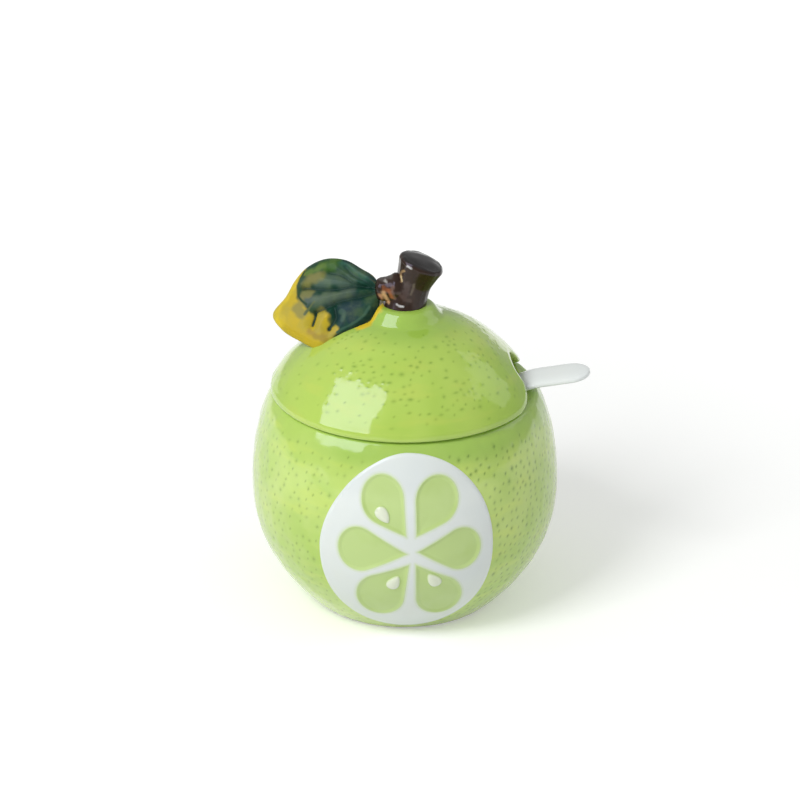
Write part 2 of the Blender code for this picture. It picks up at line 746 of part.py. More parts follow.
def spoon_form():
    """One bent strip of porcelain, dished into a bowl at its lower end."""
    spine, distances = spoon_spine()
    sideways = Vector((0, 1, 0))
    rings = []
    for i, (point, distance) in enumerate(zip(spine, distances)):
        along = spine[min(i + 1, len(spine) - 1)] - spine[max(i - 1, 0)]
        upward = along.cross(sideways).normalized()
        half = spoon_width(distance, distances[-1])
        dish = spoon_dish(distance)
        thick = SPOON_THICKNESS / 2 * min(1.0, 2 * half / HANDLE_WIDTH) ** 0.5
        ring = []
        for k in range(SPOON_STEPS):
            turn = math.tau * k / SPOON_STEPS
            across = math.copysign(abs(math.cos(turn)) ** SECTION_SQUARENESS[0], math.cos(turn))
            height = math.copysign(abs(math.sin(turn)) ** SECTION_SQUARENESS[1], math.sin(turn))
            lift = thick * height + dish * across * across
            ring.append(point + sideways * half * across + upward * lift)
        rings.append(ring)
    return lofted(rings)


def main():
    clear_scene()
    body = jar_body()
    slice_relief(body)
    shell = lid_shell()
    lid_ornament(shell)
    add_object("spoon", spoon_form(), SPOON_PIVOT, glaze("porcelain"))


main()
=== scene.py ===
"""Looks of the seasoning jar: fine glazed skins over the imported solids, a pale studio and a camera.

Skins are worked out in millimetres. Meshes, lamps and camera are in metres, like the frame.
"""

import math

import bpy
import numpy as np
from mathutils import Matrix, Vector


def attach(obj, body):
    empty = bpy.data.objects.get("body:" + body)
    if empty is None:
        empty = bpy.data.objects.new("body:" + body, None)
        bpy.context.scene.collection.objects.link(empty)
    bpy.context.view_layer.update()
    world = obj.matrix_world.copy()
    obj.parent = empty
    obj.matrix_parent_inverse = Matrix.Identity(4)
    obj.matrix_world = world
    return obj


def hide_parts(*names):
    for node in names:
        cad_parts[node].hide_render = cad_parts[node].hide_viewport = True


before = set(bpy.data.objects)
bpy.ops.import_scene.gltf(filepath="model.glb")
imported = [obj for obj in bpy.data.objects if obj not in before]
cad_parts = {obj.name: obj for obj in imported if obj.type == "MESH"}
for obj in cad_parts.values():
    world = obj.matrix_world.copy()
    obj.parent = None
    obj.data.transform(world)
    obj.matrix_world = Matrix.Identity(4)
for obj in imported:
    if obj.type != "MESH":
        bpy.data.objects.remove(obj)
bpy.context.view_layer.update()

MM = 0.001
SEED = 71
TINY = 1e-9
UPRIGHT = (0.0, 0.0, 1.0)
SIDEWAYS = np.array((0.0, 1.0, 0.0))
WHITE = (1.0, 1.0, 1.0, 1.0)

# How streaks lie around the jar and the lid
STREAK = (0.35, 0.35, 1.4)
# Pores: the ranges of their half width and strength, their reach in grid steps, and the number of tries
PORE_SIZE = (0.24, 0.50)
PORE_STRENGTH = (0.45, 1.0)
PORE_REACH = 4
PORE_TRIES = 22000
# How unsteady a brush stroke's edge is, and where it fades, in half widths of the stroke
BRUSH_WOBBLE = 0.28
BRUSH_FADE = (1.55, 0.35)

# Jar, as in the solids
BODY_RADIUS = 45.0
BASE_RADIUS = 27.8
RIM_RADIUS = 39.0
MOUTH_RADIUS = 33.97
EQUATOR_HEIGHT = 36.3
RIM_HEIGHT = 64.7
LOWER_FULLNESS = 2.25
UPPER_FULLNESS = 2.10
# How far the wall rounds in at the rim, and where that starts
SHOULDER = 0.9
SHOULDER_START = 60.0
WALL = 5.5
FLOOR_THICKNESS = 7.0
# The slope between the inner floor and the wall: its run and rise
FLOOR_SLOPE = (3.0, 1.0)
FOOT_RECESS = 0.5
FOOT_RING = 3.5
# Steps of the jar's grid, and the bands near the rim and inside the foot
JAR_STEP = 0.66
RIM_STEP = 0.5
RIM_BAND = 1.5
FOOT_STEP = 4.0
FOOT_BAND = 6.0
INSIDE_STEP = 3.5
JAR_COLUMNS = 600
GLAZE_START = 1.0
JAR_PORES = dict(spacing=2.1, loose=(0.75, 1.3), tall=(0.9, 1.4), wide=(0.9, 1.1), seed=1)
JAR_PORE_DEPTH = 0.11
JAR_WAVES = ((0.05, 9.0, 2), (0.03, 4.5, 3))
# Pores on the left as shares of those on the right
LEFT_PORES = 0.7
LEFT_STRENGTH = 0.68

# Slice relief
SLICE_HALF = np.array((24.7, 29.9))
SLICE_CENTRE = np.array((0.4, 32.7))
SLICE_HUB = np.array((2.2, 33.7))
# Squareness of the oval, and of its upper left quarter
SLICE_SQUARENESS = 2.1
UPPER_LEFT_SQUARENESS = 1.75
SLICE_PROUD = 0.5
SLICE_ROUND = 1.1
SLICE_EDGE_DIP = 0.3
SLICE_SUNK = 1.0
SLICE_COLUMNS = 440
POCKET_DEPTH = 1.7
# Recesses of the segments, which slope down between two distances inside the outline
FLESH_RECESS = 0.5
FLESH_SLOPE = (-0.25, 1.35)
FLESH_HOLLOW = 0.12
# The green glaze in them
FLESH_LAYER = 0.12
FLESH_DEPTH = 0.36
FLESH_OVERRUN = 0.3
# Each segment's tip, the middle of its round end and that end's radius, from the hub as shares of the oval
SEGMENTS = (
    ((0.044, 0.018), (0.547, 0.006), 0.231),
    ((0.036, 0.170), (0.273, 0.524), 0.246),
    ((-0.066, 0.172), (-0.337, 0.539), 0.246),
    ((-0.051, -0.003), (-0.610, 0.018), 0.243),
    ((-0.033, -0.110), (-0.370, -0.515), 0.280),
    ((0.029, -0.110), (0.300, -0.529), 0.268),
)
# Each seed's direction from the hub in degrees, and its distance as a share of the oval
SEEDS = ((131, 0.512), (238, 0.402), (307, 0.400))
SEED_LENGTH = 5.5
SEED_WIDTH = 3.7
SEED_TAPER = 0.35
SEED_HEIGHT = 0.8
# How far a seed's edge and underside lie below the green glaze
SEED_EDGE_DIP = 0.1
SEED_SUNK = 0.3
SEED_COLUMNS = 64

# Lid
LID_SEAT = 65.0
LID_RADIUS = 39.3
DOME_HEIGHT = 25.0
DOME_FULLNESS = 1.5
LID_WALL = 4.0
LIP_ROUND = 1.2
FLANGE_OUTER = 33.27
FLANGE_INNER = 30.27
FLANGE_DEPTH = 5.0
SEAT_SETBACK = 2.0
FLANGE_FILLET = 0.4
FLANGE_CHAMFER = 0.7
FLANGE_TOP = -0.6
# The notch's cut face: gaps at its ends, and how far its rows are evened out
CUT_START = 0.4
CUT_END = 0.3
CUT_EVEN = 0.03
COLLAR_RADIUS = 11.5
PAD_RADIUS = 6.7
COLLAR_HEIGHT = 1.2
COLLAR_ROLL = 0.2
COLLAR_ROLL_RADIUS = 8.6
COLLAR_ROLL_WIDTH = 1.2
# Half of the notch's outline, across from its middle and up from the lid's seat
NOTCH_OUTLINE = (
    (19.5, 0.0), (15.6, 1.0), (13.5, 1.9), (11.7, 2.8), (9.9, 3.9),
    (8.4, 4.8), (7.4, 6.6), (6.4, 7.9), (3.2, 8.8), (0.0, 9.0),
)
# Angles beside the notch: the gap to the next column, and what still counts as near
NOTCH_GAP = 0.002
NOTCH_NEAR = 0.06
# How the wall sags inwards around the notch, deepest in one direction
SAG_TURN = math.radians(8)
SAG_DEPTH = 2.4
SAG_ANGLE = math.radians(28)
SAG_LIP_SHARE = 0.90
SAG_WHOLE = 6.0
SAG_FADE = (22.0, 9.0)
# A bead along the lid's edge and the shallow groove above it: distance from the edge, height and half width
LIP_LINES = ((0.9, 0.06, 0.6), (2.1, -0.08, 0.45))
# Rows of the lid's grid above a band along the edge, and their distances from the edge in it
LID_ROWS = 82
LIP_BAND = 3.1
LIP_ROWS = (2.7, 2.4, 2.1, 1.8, 1.5, 1.2, 0.9, 0.62, 0.4, 0.22, 0.08, 0.0)
LID_STEP = 0.47
LID_PORES = dict(spacing=2.3, loose=(0.6, 1.5), tall=(0.8, 1.2), wide=(0.9, 1.7), seed=11)
LID_PORE_DEPTH = 0.09
LID_WAVES = ((0.05, 11.0, 12), (0.025, 5.0, 13))
# Chances of pores at the lid's edge, on its left and between clumps
EDGE_PORES = 0.25
LID_LEFT_PORES = 0.35
LOOSE_PORES = 0.3
# Yellow glaze that has run from the leaf's edge onto the lid: its way and half width
GOLD_RUN = ((-6.6, -0.6, 91.0), (-8.0, -3.2, 89.8), (-9.8, -4.3, 88.0), (-12.0, -6.0, 86.4))
GOLD_WIDTH = 1.9

# Stem
STEM_FOOT = np.array((0.0, 0.0, 91.2))
STEM_LEAN = math.radians(21.2)
STEM_AXIS = np.array((math.sin(STEM_LEAN), 0.0, math.cos(STEM_LEAN)))
STEM_LENGTH = 14.1
STEM_ROOT = 2.0
STEM_BASE_RADIUS = 6.3
STEM_WAIST_RADIUS = 5.2
STEM_FLARE = 1.2
STEM_TOP_RADIUS = 7.05
STEM_SHOULDER = 0.90
STEM_ROUND = 1.3
STEM_CROWN = 0.9
STEM_COLUMNS = 144
STEM_RIDGES = ((1.0, 6, 1.0, 0.7), (0.7, 11, -0.4, 2.1), (0.5, 17, 0.8, 4.0))
STEM_RIDGE_PEAK = 1.5
STEM_RIDGE_HEIGHT = 0.014
STEM_TWIST = 0.5
STEM_WAVES = ((0.09, 5.0, 21),)
BARK_COLOUR = (42, 25, 14)
CUT_COLOURS = ((24, 23, 23), (52, 50, 49))
# Brush strokes on the front of the stem and twig: colour, half width, and places across and up in front view
# Among them are painted reflections of the yellow leaf and painted glints of the key light
BARK_STROKES_AND_PAINTED_LIGHT = (
    ((74, 60, 56), 1.0, ((0.7, 98.6), (0.3, 96.5), (0.0, 95.0))),
    ((96, 84, 70), 0.35, ((2.7, 99.1), (1.8, 95.9))),
    ((78, 62, 56), 0.5, ((-1.9, 96.0), (0.0, 94.6), (1.6, 94.0))),
    ((112, 86, 74), 0.5, ((-3.3, 97.7), (-3.7, 96.5), (-3.0, 94.4))),
    # The next five orange and cream strokes are painted reflections of the yellow leaf
    ((150, 88, 50), 0.5, ((-6.2, 97.3), (-6.0, 96.5), (-4.8, 96.7), (-3.7, 94.6))),
    ((198, 142, 108), 0.5, ((-6.6, 94.1), (-7.1, 94.9))),
    ((222, 176, 126), 0.55, ((-6.2, 95.9), (-5.5, 94.2), (-4.8, 92.8))),
    ((160, 128, 86), 0.28, ((-0.2, 102.8), (-1.1, 101.8), (-1.0, 100.4), (-1.0, 99.1))),
    ((220, 196, 150), 0.22, ((-1.0, 100.6), (-0.8, 99.4))),
    ((96, 92, 86), 0.35, ((-1.5, 104.7), (-2.6, 102.1), (-4.0, 99.6))),
    ((92, 88, 86), 0.6, ((-7.9, 99.4), (-6.4, 99.2), (-4.8, 99.6))),
    # Painted glints: three small white highlights of the key light on the stem's rim, twig and foot
    ((228, 228, 230), 0.28, ((0.8, 104.6), (1.7, 104.1))),
    ((222, 220, 216), 0.3, ((-5.6, 98.7), (-5.2, 98.5))),
    ((224, 224, 226), 0.26, ((-2.2, 92.8), (-1.3, 92.5), (-0.5, 92.45))),
)
TWIG_RADIUS = 3.4
TWIG_START = 4.9
TWIG_OVERRUN = 0.12
# The twig's width at shares of its length
TWIG_WIDTHS = (
    (0.0, 1.3), (0.45, 1.38), (0.55, 1.2), (0.68, 1.06), (0.85, 1.0), (0.94, 0.85), (0.98, 0.6), (1.0, 0.25),
)
TWIG_COLUMNS = 72
TWIG_RIDGES = ((1.0, 5, 0.0, 1.0), (0.7, 9, 0.0, 2.5))
TWIG_RIDGE_HEIGHT = 0.02

# Leaf
LEAF_BASE = np.array((-7.4, 0.0, 95.5))
LEAF_MIDRIB = np.array((-0.941, 0.102, -0.323))
LEAF_ACROSS = np.array((-0.164, 0.698, 0.698))
LEAF_THICKNESS = 2.8
LEAF_EDGE = 1.5
LEAF_CROWN = 1.2
# Where the edge starts to round, as a share of the way out
LEAF_RIM = 0.88
CREASE_DEPTH = 0.75
CREASE_WIDTH = 0.8
VEIN_DEPTH = 0.45
VEIN_WIDTH = 0.7
LOBE_HEIGHT = 0.7
LOBE_RISE = 3.5
VEIN_STEEPNESS = 1.2
VEIN_DARKNESS = 0.8
# Outline, creases, veins and the border of the green, along the midrib and across it
LEAF_OUTLINE = (
    (0.3, 1.2), (1.2, 4.8), (4.3, 8.1), (8.7, 12.2), (14.5, 14.2), (20.3, 13.2), (24.6, 10.2), (28.2, 6.0),
    (32.9, 1.8), (31.0, -3.5), (27.0, -7.8), (20.9, -12.6), (16.0, -11.8), (9.0, -10.2), (4.6, -8.8),
    (1.2, -4.6),
)
LEAF_CREASES = (
    ((0.2, 0.5), (3.9, 2.0), (7.7, 2.9), (12.1, 3.3), (15.6, 4.1), (18.9, 5.4), (21.8, 6.5)),
    ((0.6, -0.4), (5.9, -0.7), (8.4, -0.5), (11.2, -0.5), (13.8, -0.8), (16.5, -1.5), (19.6, -1.8)),
)
LEAF_VEINS = (
    ((0.2, 0.5), (3.7, 3.6), (7.0, 6.6), (9.0, 9.9)),
    ((3.9, 2.1), (7.4, 4.2), (10.2, 7.1), (13.5, 9.0)),
    ((13.8, -0.8), (13.8, -3.4), (14.1, -5.4), (16.5, -7.8)),
    ((19.6, -1.8), (19.9, -3.3), (21.2, -5.5)),
)
LEAF_GREEN = (
    (0.0, 1.0), (5.0, 9.0), (12.0, 16.0), (18.1, 16.0), (21.4, 12.0), (23.2, 8.6), (23.8, 6.8), (23.9, 4.4),
    (23.1, 2.2), (22.0, -0.6), (20.5, -2.4), (17.6, -2.6), (15.6, -4.0), (15.8, -6.8), (13.6, -8.6),
    (15.4, -12.0), (9.0, -13.0), (0.0, -6.0),
)
LEAF_WANDER = ((1.0, 6.0, 31), (0.6, 2.5, 32))
BORDER_WOBBLE = 0.35
LEAF_COLOUR = (24, 72, 56)
LEAF_GOLD = (226, 198, 50)
# How much of the paint's light the glaze over it lets through
LEAF_DEPTH = 0.70
# Brush strokes on the leaf under and over its yellow: the colour, half the width and the brush's way
# Under the yellow lies a painted sheen on the middle lobes; over it a painted highlight along the lower rim
LEAF_UNDER_AND_SHEEN = (
    ((58, 106, 90), 1.7, ((3.6, 5.2), (7.4, 8.9), (9.3, 11.6))),
    # Painted sheen: these two grey-green strokes stand for the key light's reflection on the middle lobes
    ((86, 112, 98), 2.5, ((17.0, 6.2), (12.6, 6.2), (9.6, 5.0))),
    ((88, 108, 96), 1.9, ((21.0, 1.8), (16.0, 1.5), (12.5, 1.4), (8.8, 1.0))),
    ((70, 112, 46), 1.7, ((11.5, 12.6), (12.9, 10.8), (14.5, 11.9))),
    ((104, 136, 58), 1.2, ((15.4, 11.6), (17.6, 10.7), (19.8, 10.8))),
    ((138, 138, 74), 1.6, ((16.8, 8.5), (18.7, 8.3), (21.0, 7.6))),
    ((140, 140, 88), 1.5, ((20.4, 4.2), (21.7, 4.3), (22.9, 3.6))),
    ((30, 62, 68), 2.3, ((7.2, -2.2), (9.0, -4.2), (9.2, -7.0))),
    ((34, 66, 66), 1.4, ((11.6, -1.9), (12.6, -4.0), (12.3, -7.2))),
    ((66, 98, 84), 0.7, ((11.9, -4.0), (11.2, -5.2), (12.2, -6.6))),
)
LEAF_OVER_AND_HIGHLIGHT = (
    ((206, 186, 70), 1.5, ((18.2, -2.9), (18.8, -4.9), (20.0, -7.5))),
    ((212, 188, 66), 1.2, ((15.2, -8.6), (16.8, -9.6), (18.6, -10.6))),
    ((172, 162, 78), 1.5, ((23.6, 1.7), (24.9, 0.4), (23.8, -1.4))),
    ((250, 222, 64), 1.5, ((22.2, 12.4), (25.6, 8.6), (28.4, 5.0), (32.0, 1.4), (30.6, -2.6))),
    ((104, 116, 80), 0.35, ((22.7, -1.9), (20.3, 0.3), (19.2, 1.0))),
    ((40, 74, 40), 0.45, ((21.0, 11.7), (23.0, 8.6), (23.6, 7.0), (23.7, 4.4), (23.0, 2.6), (21.7, 0.9))),
    ((34, 62, 44), 0.45, ((19.8, -1.8), (19.9, -3.3), (21.2, -5.5))),
    ((30, 62, 52), 0.5, ((13.8, -3.2), (14.1, -5.4), (16.5, -7.8))),
    ((196, 166, 60), 0.9, ((22.4, -7.0), (20.6, -9.2), (18.4, -10.4))),
    ((232, 210, 92), 1.5, ((-0.6, -5.4), (2.4, -8.6), (5.4, -10.6))),
    ((22, 56, 42), 1.0, ((0.9, -3.4), (3.3, -6.3), (7.1, -8.9), (11.1, -10.2), (15.2, -11.0))),
    # Painted highlight: a light streak along the lower rim
    ((62, 100, 82), 0.35, ((3.6, -4.6), (5.9, -6.8), (9.1, -8.2), (12.7, -9.0), (14.3, -9.6))),
    ((46, 74, 68), 0.8, ((0.4, 3.0), (2.9, 6.0), (5.7, 9.2), (8.5, 12.2))),
)

# Spoon
SPOON_THICKNESS = 2.6
SPOON_THINNING = 0.5
HANDLE_WIDTH = 12.0
HANDLE_REACH = 14.8
HANDLE_RISE = 3.6
# The handle past the rim, as shares of its reach and rise
HANDLE_LINE = ((0.35, 0.62), (1.0, 1.0))
# Where the handle rests on the rim, and where it bends into the shank
REST_SETBACK = 1.2
REST_ARCH = 0.4
BEND_INWARDS = 7.0
BEND_DROP = 4.5
SHANK_MARKS = (0.35, 0.75)
SECTION_SQUARENESS = (0.7, 0.8)
NECK_WIDTH = 7.6
BOWL_LENGTH = 32.0
BOWL_WIDTH = 24.0
BOWL_DEPTH = 6.5
BOWL_STEEPNESS = 1.2
BOWL_SETBACK = 14.0
BOWL_RUN = 35.84
BOWL_LINE = ((-1.0, 1.0), (-0.55, 0.26), (0.0, 0.0), (0.6, 0.36), (1.15, 1.7))
SPOON_LIFT = 1.6
SPOON_TIP = 0.01
SPOON_ROWS = 190
SPOON_COLUMNS = 72

# Studio, in metres
FLOOR_REACH = 4.0
FLOOR_COLOUR = (0.86, 0.87, 0.86, 1.0)
FLOOR_FADE = (0.10, 0.45)
FLOOR_GLOW = (0.31, 0.64)
FILL_LEVEL = 0.46
WORLD_LEVELS = {"Is Camera Ray": 1.0, "Is Glossy Ray": 0.52, "Is Transmission Ray": 0.52}
LIT_POINT = Vector((-0.012, -0.030, 0.072))
# A softbox on the left that the glaze mirrors
KEY = dict(
    direction=(-0.62, -0.30, 0.73), distance=0.72, long_side=(-0.28, -0.48, -0.50), sides=(0.51, 0.62),
    power=4.3,
)
KEY_COLOUR = (0.74, 0.71, 1.0)
# A lamp at the front left that lights the object and throws its shadow, and a faint reflector on the right
FRONT = dict(direction=(-0.64, -0.68, 0.92), distance=0.8, long_side=UPRIGHT, sides=(0.32, 0.32), power=4.0)
REFLECTOR = dict(direction=(0.74, 0.32, 0.54), distance=0.8, long_side=UPRIGHT, sides=(0.42, 0.42), power=0.4)
CAMERA_AIM = np.array((0.0, 0.0, 0.04183))
CAMERA_DISTANCE = 0.7977
CAMERA_ELEVATION = math.radians(25.8)
CAMERA_LENS = 121.7
CAMERA_SHIFT = (-0.006, 0.0722)


def smooth(low, high, value):
    """0 up to low, 1 from high on, and a soft rise between them."""
    share = np.clip((value - low) / (high - low), 0.0, 1.0)
    return share * share * (3 - 2 * share)


def blend(first, second, share):
    """The first turning into the second as a share goes from 0 to 1."""
    return first + (second - first) * share


def spot(distance, width):
    """A bell that is 1 at no distance and has about the half width given."""
    return np.exp(-((distance / width) ** 2))


def joined(*parts):
    """Arrays one after the other."""
    return np.concatenate(parts)


def stacked(*parts):
    """Arrays of coordinates as one array of points."""
    return np.stack(parts, -1)


def unit(vectors):
    """Vectors of length 1 that point the same ways."""
    return vectors / np.maximum(np.linalg.norm(vectors, axis=-1, keepdims=True), TINY)


def full_turn(count):
    """Even angles once around."""
    return math.tau * np.arange(count) / count


def along(path):
    """Distance from the start of a path to each of its points."""
    return joined([0.0], np.cumsum(np.linalg.norm(np.diff(path, axis=0), axis=1)))


def at_distances(path, lengths, wanted):
    """Places on a path whose points have these lengths from its start."""
    return stacked(*(np.interp(wanted, lengths, values) for values in path.T))


def even_path(path, step):
    """Points along a path at even steps."""
    lengths = along(path)
    count = max(2, round(lengths[-1] / step) + 1)
    return at_distances(path, lengths, np.linspace(0, lengths[-1], count))


def softened(path, width, step=0.1):
    """A path whose corners are worn round over a width."""
    fine = even_path(path, step)
    reach = round(3 * width / step)
    kernel = np.exp(-((np.arange(-reach, reach + 1) * step / width) ** 2) / 2)
    kernel /= kernel.sum()
    before = 2 * fine[0] - fine[reach:0:-1]
    after = 2 * fine[-1] - fine[-2:-reach - 2:-1]
    padded = joined(before, fine, after)
    return stacked(*(np.convolve(values, kernel, "valid") for values in padded.T))


def graded(path, gaps):
    """Points along a fine path, with about the wished gap at each place between them."""
    steps = np.linalg.norm(np.diff(path, axis=0), axis=1) / ((gaps[1:] + gaps[:-1]) / 2)
    counts = joined([0.0], np.cumsum(steps))
    wanted = np.linspace(0, counts[-1], round(counts[-1]) + 1)
    return at_distances(path, counts, wanted)


def curve_through(marks, steps=8, closed=False):
    """A smooth curve through marks, with some steps from each to the next."""
    marks = np.asarray(marks, float)
    if closed:
        marks = joined(marks[-1:], marks, marks[:2])
    else:
        marks = joined([2 * marks[0] - marks[1]], marks, [2 * marks[-1] - marks[-2]])
    t = (np.arange(steps) / steps)[:, None]
    points = []
    for a, b, c, d in zip(marks, marks[1:], marks[2:], marks[3:]):
        square = (2 * a - 5 * b + 4 * c - d) * t**2
        cube = (3 * b - a - 3 * c + d) * t**3
        points.append((2 * b + (c - a) * t + square + cube) / 2)
    if not closed:
        points.append(marks[-2:-1])
    return joined(*points)


def path_distance(points, path):
    """Distance of points from an open path."""
    best = np.full(points.shape[:-1], np.inf)
    for start, end in zip(path, path[1:]):
        edge = end - start
        to_point = points - start
        share = np.clip((to_point @ edge) / (edge @ edge), 0.0, 1.0)
        best = np.minimum(best, np.linalg.norm(to_point - share[..., None] * edge, axis=-1))
    return best


def inside_distance(points, outline):
    """Distance of points from a closed outline in the plane, positive inside it."""
    x, y = points[..., 0], points[..., 1]
    ring = joined(outline, outline[:1])
    inside = np.zeros(points.shape[:-1], bool)
    for start, end in zip(ring, ring[1:]):
        run, rise = end - start
        beside = (start[1] > y) != (end[1] > y)
        crossing = start[0] + run * (y - start[1]) / np.where(beside, rise, 1.0)
        inside ^= beside & (x < crossing)
    best = path_distance(points, ring)
    return np.where(inside, best, -best)


def ripple(points, scale, seed, waves=20):
    """A soft random unevenness of about one wave per scale, between about -1 and 1."""
    rng = np.random.default_rng(SEED + seed)
    total = np.zeros(points.shape[:-1])
    for _ in range(waves):
        direction = rng.normal(size=3)
        direction *= math.tau / scale * rng.uniform(0.6, 1.4) / np.linalg.norm(direction)
        total += np.sin(points @ direction + rng.uniform(0, math.tau))
    return total / math.sqrt(waves)


def ripples(points, waves):
    """The sum of ripples of a height, a length and a seed each."""
    return sum(height * ripple(points, length, seed) for height, length, seed in waves)


def pores(points, upward, chance, cells, spacing, loose, tall, wide, seed):
    """A field of small dimples at scattered points of a skin: 1 in a pore's middle, 0 between them.

    chance is how densely they stand and cells is the size of each place on the skin. loose is the range of
    the room around a pore as a share of the spacing, and tall and wide are the ranges of a pore's stretch
    along upward and across it.
    """
    rng = np.random.default_rng(SEED + seed)
    rows, columns = chance.shape
    field = np.zeros((rows, columns))
    weights = (chance * cells).ravel()
    crowding = np.sqrt(chance / chance.max())
    tries = rng.choice(rows * columns, size=PORE_TRIES, p=weights / weights.sum())
    kept = np.zeros((PORE_TRIES, 3))
    count = 0
    for place in tries:
        row, column = divmod(int(place), columns)
        centre = points[row, column]
        room = spacing * rng.uniform(*loose) / crowding[row, column]
        if count and np.min(((kept[:count] - centre) ** 2).sum(1)) < room**2:
            continue
        kept[count] = centre
        count += 1
        width = rng.uniform(*PORE_SIZE)
        height = width * rng.uniform(*tall)
        width *= rng.uniform(*wide)
        strength = rng.uniform(*PORE_STRENGTH)
        near_rows = np.arange(max(row - PORE_REACH, 0), min(row + PORE_REACH + 1, rows))
        near_columns = np.arange(column - PORE_REACH, column + PORE_REACH + 1) % columns
        block = np.ix_(near_rows, near_columns)
        offset = points[block] - centre
        lengthwise = offset @ upward[row, column]
        sideways = np.sqrt(np.maximum((offset**2).sum(-1) - lengthwise**2, 0.0))
        dimple = strength * spot(np.hypot(lengthwise / height, sideways / width), 1.0)
        field[block] = np.maximum(field[block], dimple)
    return field


def placed(name, data):
    """A new object in the scene."""
    made = bpy.data.objects.new(name, data)
    bpy.context.scene.collection.objects.link(made)
    return made


def closed_skin(name, rings, material, marks=None, crease=None, colours=None):
    """A closed mesh through rings of equally many points, drawn together to a point at each end.

    marks are numbers and colours are colours for all points of the rings, which the material reads.
    """
    rows, columns = rings.shape[:2]

    def with_poles(values):
        flat = values.reshape(rows * columns, -1)
        return joined(flat, [flat[:columns].mean(0)], [flat[-columns:].mean(0)])

    points = with_poles(rings)
    here = np.arange(rows * columns).reshape(rows, columns)
    ahead = np.roll(here, -1, 1)
    quads = stacked(here[:-1], ahead[:-1], ahead[1:], here[1:]).reshape(-1, 4)
    first_fan = stacked(ahead[0], here[0], np.full(columns, here.size))
    last_fan = stacked(here[-1], ahead[-1], np.full(columns, here.size + 1))
    corners = points[quads]
    facing = np.cross(corners[:, 2] - corners[:, 0], corners[:, 3] - corners[:, 1])
    turn = -1 if (facing * corners.mean(1)).sum() < 0 else 1
    faces = [face for part in (quads, first_fan, last_fan) for face in part[:, ::turn].tolist()]
    mesh = bpy.data.meshes.new(name)
    mesh.from_pydata((points * MM).tolist(), [], faces)
    for mark, values in (marks or {}).items():
        attribute = mesh.attributes.new(mark, "FLOAT", "POINT")
        attribute.data.foreach_set("value", with_poles(values).astype(np.float32).ravel())
    if colours is not None:
        flat = with_poles(colours)
        flat = np.concatenate([flat, np.ones((len(flat), 1))], 1)
        attribute = mesh.attributes.new("paint", "FLOAT_COLOR", "POINT")
        attribute.data.foreach_set("color", flat.astype(np.float32).ravel())
    mesh.shade_smooth()
    if crease:
        mesh.set_sharp_from_angle(angle=math.radians(crease))
    mesh.materials.append(material)
    return placed(name, mesh)


def dress(piece, body, slot, *nodes):
    """The piece rides on a body and stands for nodes of the solids, which are hidden. slot is not used."""
    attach(piece, body)
    if nodes:
        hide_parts(*nodes)


def paint(red, green, blue):
    """A colour written as it looks on a screen, from 0 to 255."""
    shares = [value / 255 for value in (red, green, blue)]
    linear = [s / 12.92 if s <= 0.04045 else ((s + 0.055) / 1.055) ** 2.4 for s in shares]
    return (*linear, 1.0)


def washed(colours, colour, share):
    """Colours with another one laid over them where its share is high."""
    return blend(colours, np.array(paint(*colour)[:3]), share[..., None])


def coated(points, colour):
    """One colour at all points."""
    return np.ones((*points.shape[:-1], 1)) * paint(*colour)[:3]


def brushed(plane, colours, strokes, wobble):
    """Colours on a plane after strokes of a colour, a half width and marks, laid over each other."""
    for colour, width, marks in strokes:
        apart = path_distance(plane, curve_through(marks)) / width + BRUSH_WOBBLE * wobble
        colours = washed(colours, colour, smooth(*BRUSH_FADE, apart))
    return colours


def feed(tree, node, inputs):
    """Set a node's inputs to values, or link them to other nodes' sockets."""
    for key, value in inputs.items():
        if isinstance(value, bpy.types.NodeSocket):
            tree.links.new(value, node.inputs[key])
        else:
            node.inputs[key].default_value = value


def maths(tree, operation, *values):
    """The result of a sum in the node tree."""
    made = tree.nodes.new("ShaderNodeMath")
    made.operation = operation
    feed(tree, made, dict(enumerate(values)))
    return made.outputs[0]


